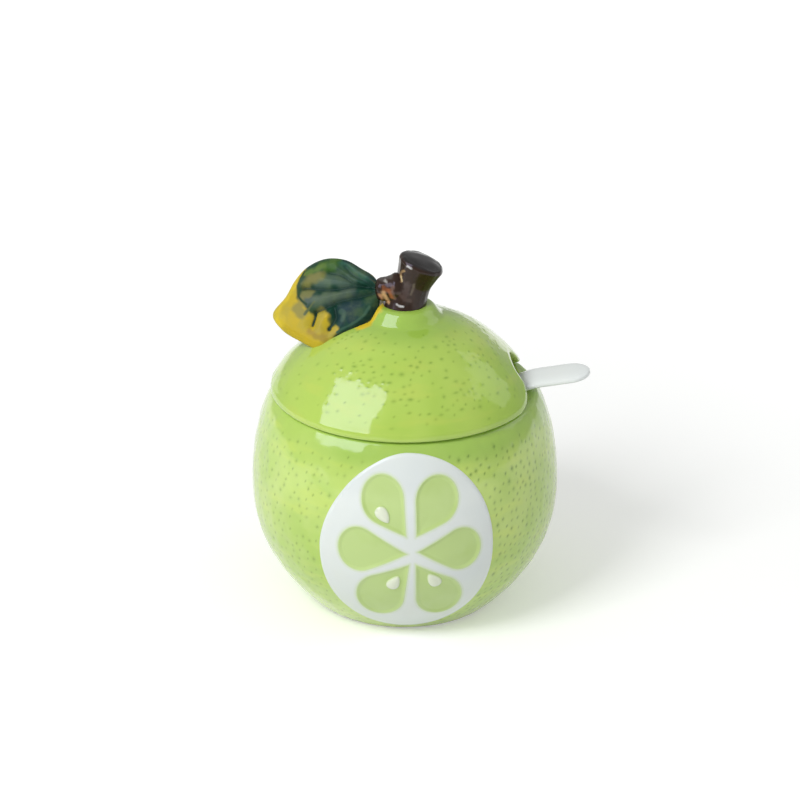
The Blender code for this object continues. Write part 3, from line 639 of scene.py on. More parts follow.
class Glaze:
    """A glossy ceramic material whose colours are laid over each other."""

    def __init__(self, name, roughness, coat=0.0, colour=None):
        self.material = bpy.data.materials.new(name)
        self.material.use_nodes = True
        self.tree = self.material.node_tree
        self.colour = colour
        self.shade({"Roughness": roughness, "IOR": 1.5, "Coat Weight": coat, "Coat Roughness": 0.04})

    def shade(self, inputs):
        feed(self.tree, self.tree.nodes["Principled BSDF"], inputs)

    def node(self, kind, inputs, **settings):
        made = self.tree.nodes.new(kind)
        for key, value in settings.items():
            setattr(made, key, value)
        feed(self.tree, made, inputs)
        return made.outputs

    def mark(self, name, share=1.0):
        """How strongly the skin is marked, times a share."""
        marked = self.node("ShaderNodeAttribute", {}, attribute_name=name)["Fac"]
        return maths(self.tree, "MULTIPLY", marked, share)

    def painted(self):
        """The colours that the skin carries."""
        return self.node("ShaderNodeAttribute", {}, attribute_name="paint")["Color"]

    def clouds(self, size, detail=2.0, stretch=(1, 1, 1), seed=0.0):
        """Soft noise whose blotches are about size millimetres across."""
        place = self.node("ShaderNodeTexCoord", {})["Object"]
        moved = {"Vector": place, "Scale": stretch, "Location": (seed, seed, seed)}
        vector = self.node("ShaderNodeMapping", moved)["Vector"]
        noise = {"Vector": vector, "Scale": 0.6 / (size * MM), "Detail": detail}
        return self.node("ShaderNodeTexNoise", noise)["Fac"]

    def ramp(self, value, fade, start, end):
        """A soft rise from start to end over a fade."""
        inputs = {0: value, 1: fade[0], 2: fade[1], 3: start, 4: end}
        return self.node("ShaderNodeMapRange", inputs, interpolation_type="SMOOTHSTEP")[0]

    def blotches(self, size, fade, strength=1.0, **noise):
        """Clouds that come in over a fade, up to a strength."""
        return self.ramp(self.clouds(size, **noise), fade, 0.0, strength)

    def streaks(self, seed):
        return self.blotches(3, (0.48, 0.72), 0.35, detail=3.0, stretch=STREAK, seed=seed)

    def mix(self, share, first, second):
        return self.node("ShaderNodeMix", {0: share, 6: first, 7: second}, data_type="RGBA")[2]

    def lay(self, share, colour):
        """Lay a colour over what is there where its share is high."""
        self.colour = self.mix(share, self.colour, colour)
        self.shade({"Base Color": self.colour})


def body_glaze():
    glaze = Glaze("jar_glaze", 0.13, 0.3, paint(197, 223, 118))
    glaze.lay(glaze.blotches(14, (0.38, 0.66)), paint(179, 211, 97))
    glaze.lay(glaze.blotches(5, (0.52, 0.72), 0.25, seed=3.0), paint(206, 228, 138))
    glaze.lay(glaze.streaks(4.0), paint(212, 230, 108))
    # Painted shade: a darker band under the lid's edge
    glaze.lay(glaze.mark("painted_shade", 0.7), paint(152, 192, 78))
    glaze.lay(glaze.mark("pore", 0.9), paint(96, 132, 48))
    glaze.lay(glaze.mark("bare"), paint(228, 222, 208))
    return glaze.material


def lid_glaze():
    glaze = Glaze("lid_glaze_fine", 0.10, 0.3, paint(181, 211, 92))
    glaze.lay(glaze.blotches(16, (0.36, 0.66), seed=5.0), paint(163, 200, 71))
    glaze.lay(glaze.streaks(8.0), paint(198, 212, 92))
    # Painted shade: the lid darker round the collar
    glaze.lay(glaze.mark("painted_shade", 0.55), paint(140, 182, 72))
    glaze.lay(glaze.mark("pore", 0.75), paint(112, 150, 44))
    glaze.lay(glaze.mark("thin"), paint(206, 226, 140))
    glaze.lay(glaze.mark("gold"), paint(*LEAF_GOLD))
    return glaze.material


def pith_glaze():
    glaze = Glaze("pith_glaze_fine", 0.16, 0.2, paint(226, 234, 236))
    glaze.lay(glaze.clouds(9, seed=7.0), paint(232, 237, 230))
    glaze.lay(glaze.mark("bleed", 0.6), paint(206, 222, 176))
    return glaze.material


def flesh_glaze():
    glaze = Glaze("flesh_glaze_fine", 0.14, 0.3, paint(220, 232, 200))
    glaze.lay(glaze.mark("thick"), paint(192, 217, 136))
    pooled = glaze.blotches(6, (0.45, 0.75), 0.5, seed=9.0)
    glaze.lay(glaze.mark("thick", pooled), paint(180, 208, 112))
    return glaze.material


def seed_glaze():
    glaze = Glaze("seed_glaze_fine", 0.14, 0.3, paint(230, 237, 214))
    glaze.lay(glaze.mark("foot"), paint(204, 223, 162))
    return glaze.material


def bark_glaze():
    glaze = Glaze("bark_glaze_fine", 0.20)
    glaze.shade({"Specular IOR Level": 0.35})
    glaze.colour = glaze.painted()
    glaze.lay(glaze.blotches(1.8, (0.35, 0.7), 0.5, detail=4.0, seed=2.0), paint(56, 34, 20))
    greys = [paint(*grey) for grey in CUT_COLOURS]
    glaze.lay(glaze.mark("cut"), glaze.mix(glaze.clouds(2.2, detail=4.0, seed=6.0), *greys))
    return glaze.material


def leaf_glaze():
    glaze = Glaze("leaf_glaze_fine", 0.38)
    glaze.shade({"Specular IOR Level": 0.12})
    glaze.colour = glaze.painted()
    glaze.lay(glaze.blotches(2.5, (0.4, 0.7), 0.22, detail=4.0, seed=1.0), paint(120, 140, 84))
    glaze.lay(glaze.mark("vein", 0.8), paint(20, 50, 40))
    return glaze.material


def porcelain():
    glaze = Glaze("porcelain_fine", 0.14, 0.3, paint(238, 245, 244))
    glaze.lay(glaze.clouds(8, seed=10.0), paint(245, 248, 245))
    return glaze.material


def body_radius(z, shoulder=SHOULDER):
    """Outside radius of the jar body at a height."""
    below = np.clip((EQUATOR_HEIGHT - z) / EQUATOR_HEIGHT, 0.0, None) ** LOWER_FULLNESS
    above = np.clip((z - EQUATOR_HEIGHT) / (RIM_HEIGHT - EQUATOR_HEIGHT), 0.0, None) ** UPPER_FULLNESS
    inwards = shoulder * np.clip((z - SHOULDER_START) / (RIM_HEIGHT - SHOULDER_START), 0.0, None) ** 2
    return BODY_RADIUS - (BODY_RADIUS - BASE_RADIUS) * below - (BODY_RADIUS - RIM_RADIUS) * above - inwards


def body_slope(z, step=0.01):
    return (body_radius(z + step) - body_radius(z - step)) / (2 * step)


def on_body(x, z, depth):
    """Points of the front skin at places in front view, moved out along the skin's normal."""
    radius = body_radius(z)
    y = -np.sqrt(radius**2 - x**2)
    normal = unit(stacked(x / radius, y / radius, -body_slope(z)))
    return stacked(x, y, z) + normal * np.asarray(depth)[..., None]


def oval_power(across):
    """Squareness of the slice's oval at places from its middle."""
    upper_left = (across[..., 0] < 0) & (across[..., 1] >= 0)
    return np.where(upper_left, UPPER_LEFT_SQUARENESS, SLICE_SQUARENESS)[..., None]


def slice_inset(x, z):
    """Distance inwards from the edge of the slice's oval in front view, negative outside it."""
    across = stacked(x, z) - SLICE_CENTRE
    power = oval_power(across)
    shares = np.abs(across / SLICE_HALF) ** power
    share = np.maximum(shares.sum(-1), TINY) ** (1 / power[..., 0])
    return np.linalg.norm(across, axis=-1) * (1 / share - 1)


def around(sections, angles):
    """Points of (r, z) sections at some angles about Z."""
    r, z = np.moveaxis(sections, -1, 0)
    return stacked(r * np.cos(angles), r * np.sin(angles), z)


def ring_frames(sections, angles):
    """Points, outward normals and directions along each column of (r, z) sections at some angles."""
    tangent = unit(np.gradient(sections, axis=0))
    outward = tangent[..., ::-1] * (1, -1)
    return around(sections, angles), around(outward, angles), around(tangent, angles)


def jar_path():
    """(r, z) from the middle of the foot up the outside, over the rim and down to the inner floor."""
    ring = BASE_RADIUS - FOOT_RING
    foot = [(0.0, FOOT_RECESS), (ring - FOOT_RECESS, FOOT_RECESS), (ring, 0.0)]
    heights = np.linspace(0.0, RIM_HEIGHT, 120)
    outer = stacked(body_radius(heights), heights)
    plain_radius = body_radius(heights, shoulder=0.0)
    tilt = np.arctan(np.gradient(plain_radius, heights))
    inner = stacked(plain_radius - WALL * np.cos(tilt), heights + WALL * np.sin(tilt))
    run, rise = FLOOR_SLOPE
    inner = inner[(inner[:, 1] > FLOOR_THICKNESS + rise) & (inner[:, 1] < RIM_HEIGHT)][::-1]
    floor = [(inner[-1, 0] - run, FLOOR_THICKNESS), (0.0, FLOOR_THICKNESS)]
    path = joined(foot, outer, [(MOUTH_RADIUS, RIM_HEIGHT)], inner, floor)
    fine = softened(path, width=0.7)
    r, z = fine.T
    outside = np.arange(len(fine)) < np.argmax(z)
    gaps = np.where(outside, JAR_STEP, INSIDE_STEP)
    gaps[outside & (r < BASE_RADIUS - FOOT_BAND)] = FOOT_STEP
    gaps[np.abs(z - RIM_HEIGHT) < RIM_BAND] = RIM_STEP
    return graded(fine, gaps)


def jar_skin():
    """The hollow jar, with pores and waves in its glaze and a pocket behind the slice."""
    path = jar_path()
    points, normals, upward = ring_frames(np.repeat(path[:, None], JAR_COLUMNS, 1), full_turn(JAR_COLUMNS))
    x, y, z = np.moveaxis(points, -1, 0)
    outer_rows = (np.arange(len(path)) < np.argmax(path[:, 1]))[:, None]
    outside = outer_rows & (z > GLAZE_START)
    inset = np.where(y < 0, slice_inset(x, z), -np.inf)
    off_ends = smooth(2.0, 6.0, z) * smooth(63.5, 57.0, z)
    off_slice = smooth(-0.4, -1.6, inset)
    right = smooth(-25.0, 30.0, x)
    chance = off_ends * off_slice * blend(LEFT_PORES, 1.0, right)
    field = pores(points, upward, outside * (chance + TINY), outside, **JAR_PORES) * outside
    field *= blend(LEFT_STRENGTH, 1.0, right)
    pocket = POCKET_DEPTH * smooth(0.7, 1.9, inset) * outside
    rise = ripples(points, JAR_WAVES) * outside - JAR_PORE_DEPTH * field - pocket
    marks = {
        "pore": field,
        "bare": smooth(0.45, 0.1, z) * outer_rows,
        # Painted shade under the lid's edge, fading out towards the lit left
        "painted_shade": smooth(55.0, 61.5, z) * smooth(-36.0, -14.0, x) * outside,
    }
    piece = closed_skin("jar_skin", points + normals * rise[..., None], body_glaze(), marks)
    dress(piece, "jar", "body_glaze", "jar_body")


def turned_plane(points, way):
    """Points of the plane after turning +X to a way."""
    angle = math.atan2(way[1], way[0])
    cosine, sine = math.cos(angle), math.sin(angle)
    return points @ np.array(((cosine, sine), (-sine, cosine)))


def segment_outline(tip, middle, radius, steps=64):
    """A segment's outline in front view: a drop from its tip to a round end about a middle."""
    spoke = np.subtract(middle, tip)
    length = np.hypot(*spoke)
    half = math.asin(radius / length)
    turns = np.linspace(-math.pi / 2 - half, math.pi / 2 + half, steps)
    arc = stacked(length + radius * np.cos(turns), radius * np.sin(turns))
    drop = joined([(0.0, 0.0)], arc, [(0.0, 0.0)])
    shares = tip + turned_plane(drop, spoke)
    return even_path(SLICE_HUB + shares * SLICE_HALF, step=0.5)[:-1]


OUTLINES = [segment_outline(*segment) for segment in SEGMENTS]


def segment_depths(plane):
    """Distance inside the nearest segment's outline, negative on the pith."""
    return np.max([inside_distance(plane, outline) for outline in OUTLINES], axis=0)


def slice_height(plane, depths):
    """Height of the slice's skin over the body's skin."""
    inset = slice_inset(plane[..., 0], plane[..., 1])
    past = np.clip(1 - inset / SLICE_ROUND, 0.0, 1.0)
    edge = (SLICE_PROUD + SLICE_EDGE_DIP) * (1 - np.sqrt(1 - past**2))
    recess = FLESH_RECESS * smooth(*FLESH_SLOPE, depths) + FLESH_HOLLOW * smooth(0.5, 4.0, depths)
    return SLICE_PROUD - edge - recess


def plate(name, outline, centre, shares, layers, material, mark):
    """A closed plate on the body's skin inside an outline in front view.

    layers(plane) gives the heights of its upper and its lower skin and how strongly it is marked. The lower
    skin has a quarter of the rings.
    """
    rings = joined(shares, shares[::-4])
    plane = centre + rings[:, None, None] * (outline - centre)
    top, bottom, strength = layers(plane)
    upper = (np.arange(len(rings)) < len(shares))[:, None]
    skin = on_body(plane[..., 0], plane[..., 1], np.where(upper, top, bottom))
    return closed_skin(name, skin, material, {mark: strength})


def slice_skins():
    """The white slice, and the segments and seeds in it."""
    turns = full_turn(SLICE_COLUMNS)
    circle = stacked(np.cos(turns), np.sin(turns))
    oval = np.sign(circle) * np.abs(circle) ** (2 / oval_power(circle)) * SLICE_HALF + SLICE_CENTRE
    shares = joined(np.linspace(0.01, 0.955, 92), 1 - np.geomspace(0.04, 0.0006, 10), [1.0])

    def layers(plane):
        depths = segment_depths(plane)
        return slice_height(plane, depths), -SLICE_SUNK, smooth(-0.9, 0.2, depths)

    disc = plate("slice_skin", oval, SLICE_CENTRE, shares, layers, pith_glaze(), "bleed")
    dress(disc, "jar", "pith_glaze", "slice_disc")
    flesh = flesh_glaze()
    for number, outline in enumerate(OUTLINES, 1):
        segment_skin(number, outline, flesh)
    seeds = seed_glaze()
    for number, seed in enumerate(SEEDS, 1):
        seed_skin(number, *seed, seeds)


def grown(outline, by):
    """A counter-clockwise outline moved outwards."""
    tangent = unit(np.roll(outline, -1, 0) - np.roll(outline, 1, 0))
    return outline + by * tangent[:, ::-1] * (1, -1)


def segment_skin(number, outline, material):
    """The glaze that fills a segment's recess, running out thinly up its walls."""
    shares = joined(np.linspace(0.02, 0.8, 20), np.linspace(0.82, 1.0, 14))

    def layers(plane):
        depths = inside_distance(plane, outline)
        ground = slice_height(plane, depths)
        top = ground + FLESH_LAYER * (2 * smooth(-0.3, 0.35, depths) - 1)
        return top, ground - FLESH_DEPTH, smooth(-0.3, 0.6, depths)

    edge = grown(outline, FLESH_OVERRUN)
    piece = plate(f"segment_skin_{number}", edge, outline.mean(0), shares, layers, material, "thick")
    dress(piece, "jar", "flesh_glaze", f"slice_segment_{number}")


def seed_skin(number, direction, distance, material):
    """A raised egg on a segment, with its narrow end towards the hub."""
    angle = math.radians(direction)
    spoke = np.array((math.cos(angle), math.sin(angle))) * SLICE_HALF
    centre = SLICE_HUB + spoke * distance
    blunt = SEED_WIDTH / 2
    turns = full_turn(SEED_COLUMNS)
    across = blunt * np.sin(turns) * (1 + SEED_TAPER * np.cos(turns))
    egg = centre + turned_plane(stacked(SEED_LENGTH / 2 * np.cos(turns), across), spoke)
    ground = slice_height(centre, segment_depths(centre)) + FLESH_LAYER
    shares = joined(np.linspace(0.05, 0.85, 9), (0.91, 0.95, 0.98, 1.0))

    def layers(plane):
        outwards = 1 - np.clip(inside_distance(plane, egg) / blunt, 0.0, 1.0)
        dome = (SEED_HEIGHT + SEED_EDGE_DIP) * np.sqrt(1 - outwards**2)
        return ground - SEED_EDGE_DIP + dome, ground - SEED_SUNK, smooth(0.75, 1.0, outwards)

    piece = plate(f"seed_skin_{number}", egg, centre, shares, layers, material, "foot")
    dress(piece, "jar", "seed_glaze", f"slice_seed_{number}")


def dome_curve(radius, height):
    """(r, z over the seat) from the top of a dome to its edge."""
    turns = np.linspace(0.0, math.pi / 2, 400)
    power = 2 / DOME_FULLNESS
    return stacked(radius * np.sin(turns) ** power, height * np.cos(turns) ** power)


def lid_outer():
    """(r, z over the seat) down the outside of the dome with the collar on it."""
    r, z = dome_curve(LID_RADIUS, DOME_HEIGHT).T
    rise = (COLLAR_HEIGHT + DOME_HEIGHT - z) * smooth(COLLAR_RADIUS, PAD_RADIUS, r)
    rise += COLLAR_ROLL * spot(r - COLLAR_ROLL_RADIUS, COLLAR_ROLL_WIDTH)
    return even_path(stacked(r, z + rise), step=0.05)


def lid_inner():
    """(r, z over the seat) up the inside, from the flange's top to the top of the dome."""
    dome = dome_curve(LID_RADIUS - LID_WALL, DOME_HEIGHT - LID_WALL)
    return joined([(FLANGE_INNER, 0.0)], dome[dome[:, 0] < FLANGE_INNER][::-1])


def notch_outline():
    """(y, z over the seat) of the notch, from its front foot over the arch to its back foot."""
    half = curve_through(NOTCH_OUTLINE, steps=16)
    whole = joined(half * (-1, 1), half[-2::-1])
    y, z = even_path(softened(whole, width=0.4), step=0.36).T
    return y, np.maximum(z, 0.0)


def sag_depth(angle, radius, height):
    """How far the lid's wall sags inwards, at an angle about Z and a height above the seat."""
    depth = SAG_DEPTH * spot(angle - SAG_TURN, SAG_ANGLE) * smooth(*SAG_FADE, height)
    depth = depth * blend(SAG_LIP_SHARE, 1, smooth(0.0, SAG_WHOLE, height))
    over_flange = smooth(FLANGE_OUTER, FLANGE_OUTER + LID_WALL, radius)
    return depth * np.maximum(smooth(0.0, LID_WALL, height), over_flange)


def seated(points):
    """The lid's points, drawn in around the notch and set on the seat."""
    x, y, z = np.moveaxis(points, -1, 0)
    radius = np.hypot(x, y)
    share = 1 - sag_depth(np.arctan2(y, x), radius, z) / np.maximum(radius, 1.0)
    return stacked(x * share, y * share, z + LID_SEAT)


def lid_columns(outer):
    """The angle of each column of the lid and the height over the seat where it ends, the notch's first.

    Last comes the dome's radius at the ends of the notch's columns.
    """
    y, heights = notch_outline()
    radii = np.interp(heights, outer[::-1, 1], outer[::-1, 0])
    sag = sag_depth(np.arcsin(y / radii), radii, heights)
    turns = np.arcsin(y / (radii - sag))
    side = turns[-1] + NOTCH_GAP
    others = round((math.tau - 2 * side) * LID_RADIUS / LID_STEP)
    angles = joined(turns, np.linspace(side, math.tau - side, others))
    return angles, joined(heights, np.zeros(others)), radii


def lid_pores(points, downward, from_edge, angles):
    """Pores in clumps, fewer towards the edge and on the left."""
    x, radius = points[..., 0], np.hypot(points[..., 0], points[..., 1])
    few = np.minimum(EDGE_PORES + smooth(2.0, 11.0, from_edge), LID_LEFT_PORES + smooth(-28.0, -12.0, x))
    clumps = blend(LOOSE_PORES, 1, smooth(-0.3, 0.9, ripple(points, scale=10.0, seed=14)))
    off_collar = smooth(COLLAR_RADIUS - 1, COLLAR_RADIUS + 6, radius)
    chance = off_collar * smooth(1.5, 4.0, from_edge) * (few * clumps)
    cells = np.abs(np.gradient(np.unwrap(angles)) * radius)
    field = pores(points, downward, chance, cells, **LID_PORES)
    return field * blend(0.5, 1, np.minimum(few, 1.0))


def lid_outside(outer, angles, ends, notch_radii):
    """Points of the lid's outside from its top to its rounded edge, and the marks of its glaze."""
    lengths = along(outer)
    last = np.interp(ends, outer[::-1, 1], lengths[::-1])
    shares = np.linspace(0.012, 1.0, LID_ROWS)[:, None]
    distances = joined(shares * (last - LIP_BAND), last - np.array(LIP_ROWS)[:, None])
    points, normals, downward = ring_frames(at_distances(outer, lengths, distances), angles)

    count = len(notch_radii)
    notch_edge = around(stacked(notch_radii, ends[:count]), angles[:count])
    from_edge = last - distances
    near = np.abs(np.angle(np.exp(1j * angles))) < angles[count] + NOTCH_NEAR
    for column in np.flatnonzero(near):
        apart = np.linalg.norm(points[:, column, None] - notch_edge, axis=-1).min(1)
        from_edge[:, column] = np.minimum(from_edge[:, column], apart)

    field = lid_pores(points, downward, from_edge, angles)
    apart = path_distance(points + (0.0, 0.0, LID_SEAT), curve_through(GOLD_RUN))
    marks = {
        "pore": field,
        "thin": 0.5 * smooth(1.0, 0.1, from_edge),
        "gold": smooth(1.3, 0.7, apart / GOLD_WIDTH + 0.25 * ripple(points, scale=3.0, seed=15)),
        # Painted shade round the collar
        "painted_shade": smooth(COLLAR_RADIUS + 9, COLLAR_RADIUS + 1, np.hypot(points[..., 0], points[..., 1])),
    }
    rise = ripples(points, LID_WAVES) * smooth(0.3, 3.0, from_edge)
    for place, height, width in LIP_LINES:
        rise += height * spot(from_edge - place, width)
    points = points + normals * (rise - LID_PORE_DEPTH * field)[..., None]
    past = np.clip(1 - from_edge / LIP_ROUND, 0.0, 1.0)
    inward = LIP_ROUND * (1 - np.sqrt(1 - past**2))
    points[..., 0] -= inward * np.cos(angles)
    points[..., 1] -= inward * np.sin(angles)
    return points, marks


def lid_inside(angles, ends, notch_radii):
    """Points of the lid's seat, its flange and the inside of the dome, cut through by the notch."""
    inner = lid_inner()
    lengths = along(inner)
    start = np.interp(ends, inner[:, 1], lengths)
    foot = -FLANGE_DEPTH
    seat = np.array((
        (LID_RADIUS - SEAT_SETBACK, 0.0),
        (FLANGE_OUTER + FLANGE_FILLET, 0.0),
        (FLANGE_OUTER, -FLANGE_FILLET),
        (FLANGE_OUTER, foot + FLANGE_CHAMFER),
        (FLANGE_OUTER - FLANGE_CHAMFER, foot),
        (FLANGE_INNER + FLANGE_CHAMFER, foot),
        (FLANGE_INNER, foot + FLANGE_CHAMFER),
        (FLANGE_INNER, FLANGE_TOP),
    ))
    across = (seat[0, 0] - seat[:, 0]) / (seat[0, 0] - seat[-1, 0])
    across = (1 - CUT_EVEN) * across + CUT_EVEN * np.linspace(0.0, 1.0, len(seat))
    under = np.repeat(seat[:, None], len(angles), 1)
    inner_edge = at_distances(inner, lengths, start)
    for column, radius in enumerate(notch_radii):
        near = np.array((radius - LIP_ROUND - CUT_START, ends[column]))
        far = inner_edge[column] + (CUT_END, 0.0)
        under[:, column] = blend(near, far, across[:, None])
    rise = np.linspace(0.0, 0.985, 16)[:, None]
    inside = at_distances(inner, lengths, blend(start, lengths[-1], rise))
    return around(joined(under, inside), angles)


def lid_skin():
    """The hollow lid with its collar, its flange and the notch for the spoon."""
    outer = lid_outer()
    columns = lid_columns(outer)
    outside, marks = lid_outside(outer, *columns)
    inside = lid_inside(*columns)
    blank = np.zeros(inside.shape[:-1])
    marks = {mark: joined(values, blank) for mark, values in marks.items()}
    skin = seated(joined(outside, inside))
    piece = closed_skin("lid_skin", skin, lid_glaze(), marks, crease=60)
    dress(piece, "lid", "lid_glaze", "lid_shell")


def rings_about(centres, axes, radii):
    """Rings around centres, each square to its axis in the XZ plane, with a radius for each point."""
    turns = full_turn(radii.shape[1])
    across = unit(np.cross(SIDEWAYS, axes))
    spokes = across[:, None] * np.cos(turns)[:, None] + SIDEWAYS * np.sin(turns)[:, None]
    return centres[:, None] + spokes * radii[..., None]


def ridges(columns, twist, waves):
    """Lengthwise ridges around a rod: waves of a strength, a number, a share of the twist and a start."""
    turns = full_turn(columns)
    return sum(
        strength * np.sin(number * (turns + share * twist) + start)
        for strength, number, share, start in waves
    )


def stem_radius(share):
    """Radius of the stem at a share of its length."""
    foot = (STEM_BASE_RADIUS - STEM_WAIST_RADIUS) * np.clip(1 - 2 * share, 0, 1) ** 2
    head = (STEM_TOP_RADIUS - STEM_WAIST_RADIUS) * np.clip(2 * share - 1, 0, 1) ** STEM_FLARE
    return STEM_WAIST_RADIUS + foot + head


def bark_colours(rings):
    """Brown glaze with the strokes on the front of the stem and twig, painted reflections and painted glints
    among them.
    """
    bare = coated(rings, BARK_COLOUR)
    strokes = brushed(rings[..., ::2], bare, BARK_STROKES_AND_PAINTED_LIGHT, ripple(rings, scale=1.6, seed=22))
    return blend(bare, strokes, smooth(1.5, -0.5, rings[..., 1])[..., None])


def stem_skin(material):
    """The leaning stem with lengthwise ridges, and its rounded cut top."""
    shares = joined([-STEM_ROOT / STEM_LENGTH], np.linspace(0.0, STEM_SHOULDER, 60))
    over = np.linspace(0.0, 1.0, 10)[1:] * math.pi / 2
    face = np.linspace(0.97, 0.03, 24)
    rim = stem_radius(STEM_SHOULDER) - STEM_ROUND * (1 - np.cos(over))
    radii = joined(stem_radius(shares), rim, rim[-1] * face)
    side = joined(shares, STEM_SHOULDER + (1 - STEM_SHOULDER) * np.sin(over)) * STEM_LENGTH
    heights = joined(side, STEM_LENGTH + STEM_CROWN * (1 - face**2))
    on_side = (np.arange(len(heights)) < len(side))[:, None]
    lean = np.clip(2 * heights / STEM_LENGTH, 0, 1)[:, None]
    axes = unit((1 - lean) * np.array(UPRIGHT) + lean * STEM_AXIS)
    centres = STEM_FOOT + STEM_AXIS * heights[:, None]
    centres[0] = STEM_FOOT - (0.0, 0.0, STEM_ROOT)
    twist = STEM_TWIST * heights[:, None] / STEM_LENGTH
    ridge = ridges(STEM_COLUMNS, twist, STEM_RIDGES) / STEM_RIDGE_PEAK
    amount = smooth(0.0, 3.0, heights)[:, None] * on_side
    rings = rings_about(centres, axes, radii[:, None] * (1 + STEM_RIDGE_HEIGHT * ridge * amount))
    rings += ripples(rings, STEM_WAVES)[..., None] * axes[:, None]
    cut = np.where(on_side, smooth(0.94, 0.99, heights / STEM_LENGTH)[:, None], 1.0)
    marks = {"cut": np.repeat(cut, STEM_COLUMNS, 1)}
    piece = closed_skin("stem_skin", rings, material, marks, colours=bark_colours(rings))
    dress(piece, "lid", "bark_glaze", "stem")


def twig_skin(material):
    """The short side twig from inside the stem to the leaf."""
    start = STEM_FOOT + STEM_AXIS * TWIG_START
    end = LEAF_BASE + (LEAF_BASE - start) * TWIG_OVERRUN
    shares = joined(np.linspace(0.0, 0.9, 24), (0.94, 0.97, 0.99, 1.0))
    centres = blend(start, end, shares[:, None])
    axes = np.tile(unit(end - start), (len(shares), 1))
    widths = np.interp(shares, *np.transpose(TWIG_WIDTHS))
    ridge = ridges(TWIG_COLUMNS, np.zeros((len(shares), 1)), TWIG_RIDGES)
    rings = rings_about(centres, axes, TWIG_RADIUS * widths[:, None] * (1 + TWIG_RIDGE_HEIGHT * ridge))
    marks = {"cut": np.zeros_like(ridge)}
    piece = closed_skin("twig_skin", rings, material, marks, colours=bark_colours(rings))
    dress(piece, "lid", "bark_glaze")


def leaf_skin():
    """A thick leaf with puffed lobes between its creases."""
    facing = unit(np.cross(LEAF_ACROSS, LEAF_MIDRIB))
    outline = even_path(curve_through(LEAF_OUTLINE, steps=24, closed=True), step=0.3)
    centre = outline.mean(0)
    upper_shares = joined(np.linspace(0.02, 0.9, 70), np.linspace(0.912, 1.0, 12))
    lower_shares = joined((0.985, 0.95, 0.9), np.linspace(0.8, 0.05, 12))
    wide = joined(upper_shares, lower_shares)[:, None]
    upper = (np.arange(len(wide)) < len(upper_shares))[:, None]
    plane = centre + wide[..., None] * (outline - centre)
    crease, vein = [
        np.min([path_distance(plane, curve_through(marks)) for marks in lines], axis=0)
        for lines in (LEAF_CREASES, LEAF_VEINS)
    ]
    half = (LEAF_THICKNESS - (LEAF_THICKNESS - LEAF_EDGE) * wide**3) / 2
    half = half * np.sqrt(1 - np.clip((wide - LEAF_RIM) / (1 - LEAF_RIM), 0, 1) ** 2)
    groove = CREASE_DEPTH * spot(crease, CREASE_WIDTH) + VEIN_DEPTH * spot(vein, VEIN_WIDTH)
    lobes = LOBE_HEIGHT * smooth(0.0, LOBE_RISE, np.minimum(crease, vein * VEIN_STEEPNESS)) - LOBE_HEIGHT / 2
    rise = LEAF_CROWN * (1 - wide**2) - LEAF_THICKNESS / 2 + np.where(upper, half, -half)
    rise = rise + np.where(upper, (lobes - groove) * smooth(1.0, 0.86, wide), 0.0)
    skin = LEAF_BASE + plane[..., :1] * LEAF_MIDRIB + plane[..., 1:] * LEAF_ACROSS + rise[..., None] * facing

    wander = ripples(skin, LEAF_WANDER)
    border = curve_through(LEAF_GREEN, steps=6, closed=True)
    green = inside_distance(plane, border) + BORDER_WOBBLE * wander
    colours = brushed(plane, coated(plane, LEAF_COLOUR), LEAF_UNDER_AND_SHEEN, wander)
    colours = washed(colours, LEAF_GOLD, smooth(0.7, -0.7, green))
    colours = brushed(plane, colours, LEAF_OVER_AND_HIGHLIGHT, wander) * LEAF_DEPTH
    lines = np.maximum(spot(crease, width=0.45), VEIN_DARKNESS * spot(vein, width=0.4))
    piece = closed_skin("leaf_skin", skin, leaf_glaze(), {"vein": lines * upper}, colours=colours)
    dress(piece, "lid", "leaf_glaze", "leaf")


def spoon_line():
    """(x, z) along the spoon's middle line from the bowl's lip to the handle's end."""
    bowl_floor = FLOOR_THICKNESS + SPOON_LIFT
    rest = np.array(((MOUTH_RADIUS + RIM_RADIUS) / 2 - REST_SETBACK, RIM_HEIGHT + SPOON_LIFT))
    bowl = [(a * BOWL_LENGTH / 2 - BOWL_SETBACK, bowl_floor + up * BOWL_DEPTH) for a, up in BOWL_LINE]
    bend = np.array((MOUTH_RADIUS - BEND_INWARDS, rest[1] - BEND_DROP))
    shank = [blend(np.array(bowl[-1]), bend, share) for share in SHANK_MARKS]
    handle = [(RIM_RADIUS + HANDLE_REACH * a, rest[1] + HANDLE_RISE * up) for a, up in HANDLE_LINE]
    return curve_through([*bowl, *shank, bend, rest + (0.0, REST_ARCH), *handle], steps=48)


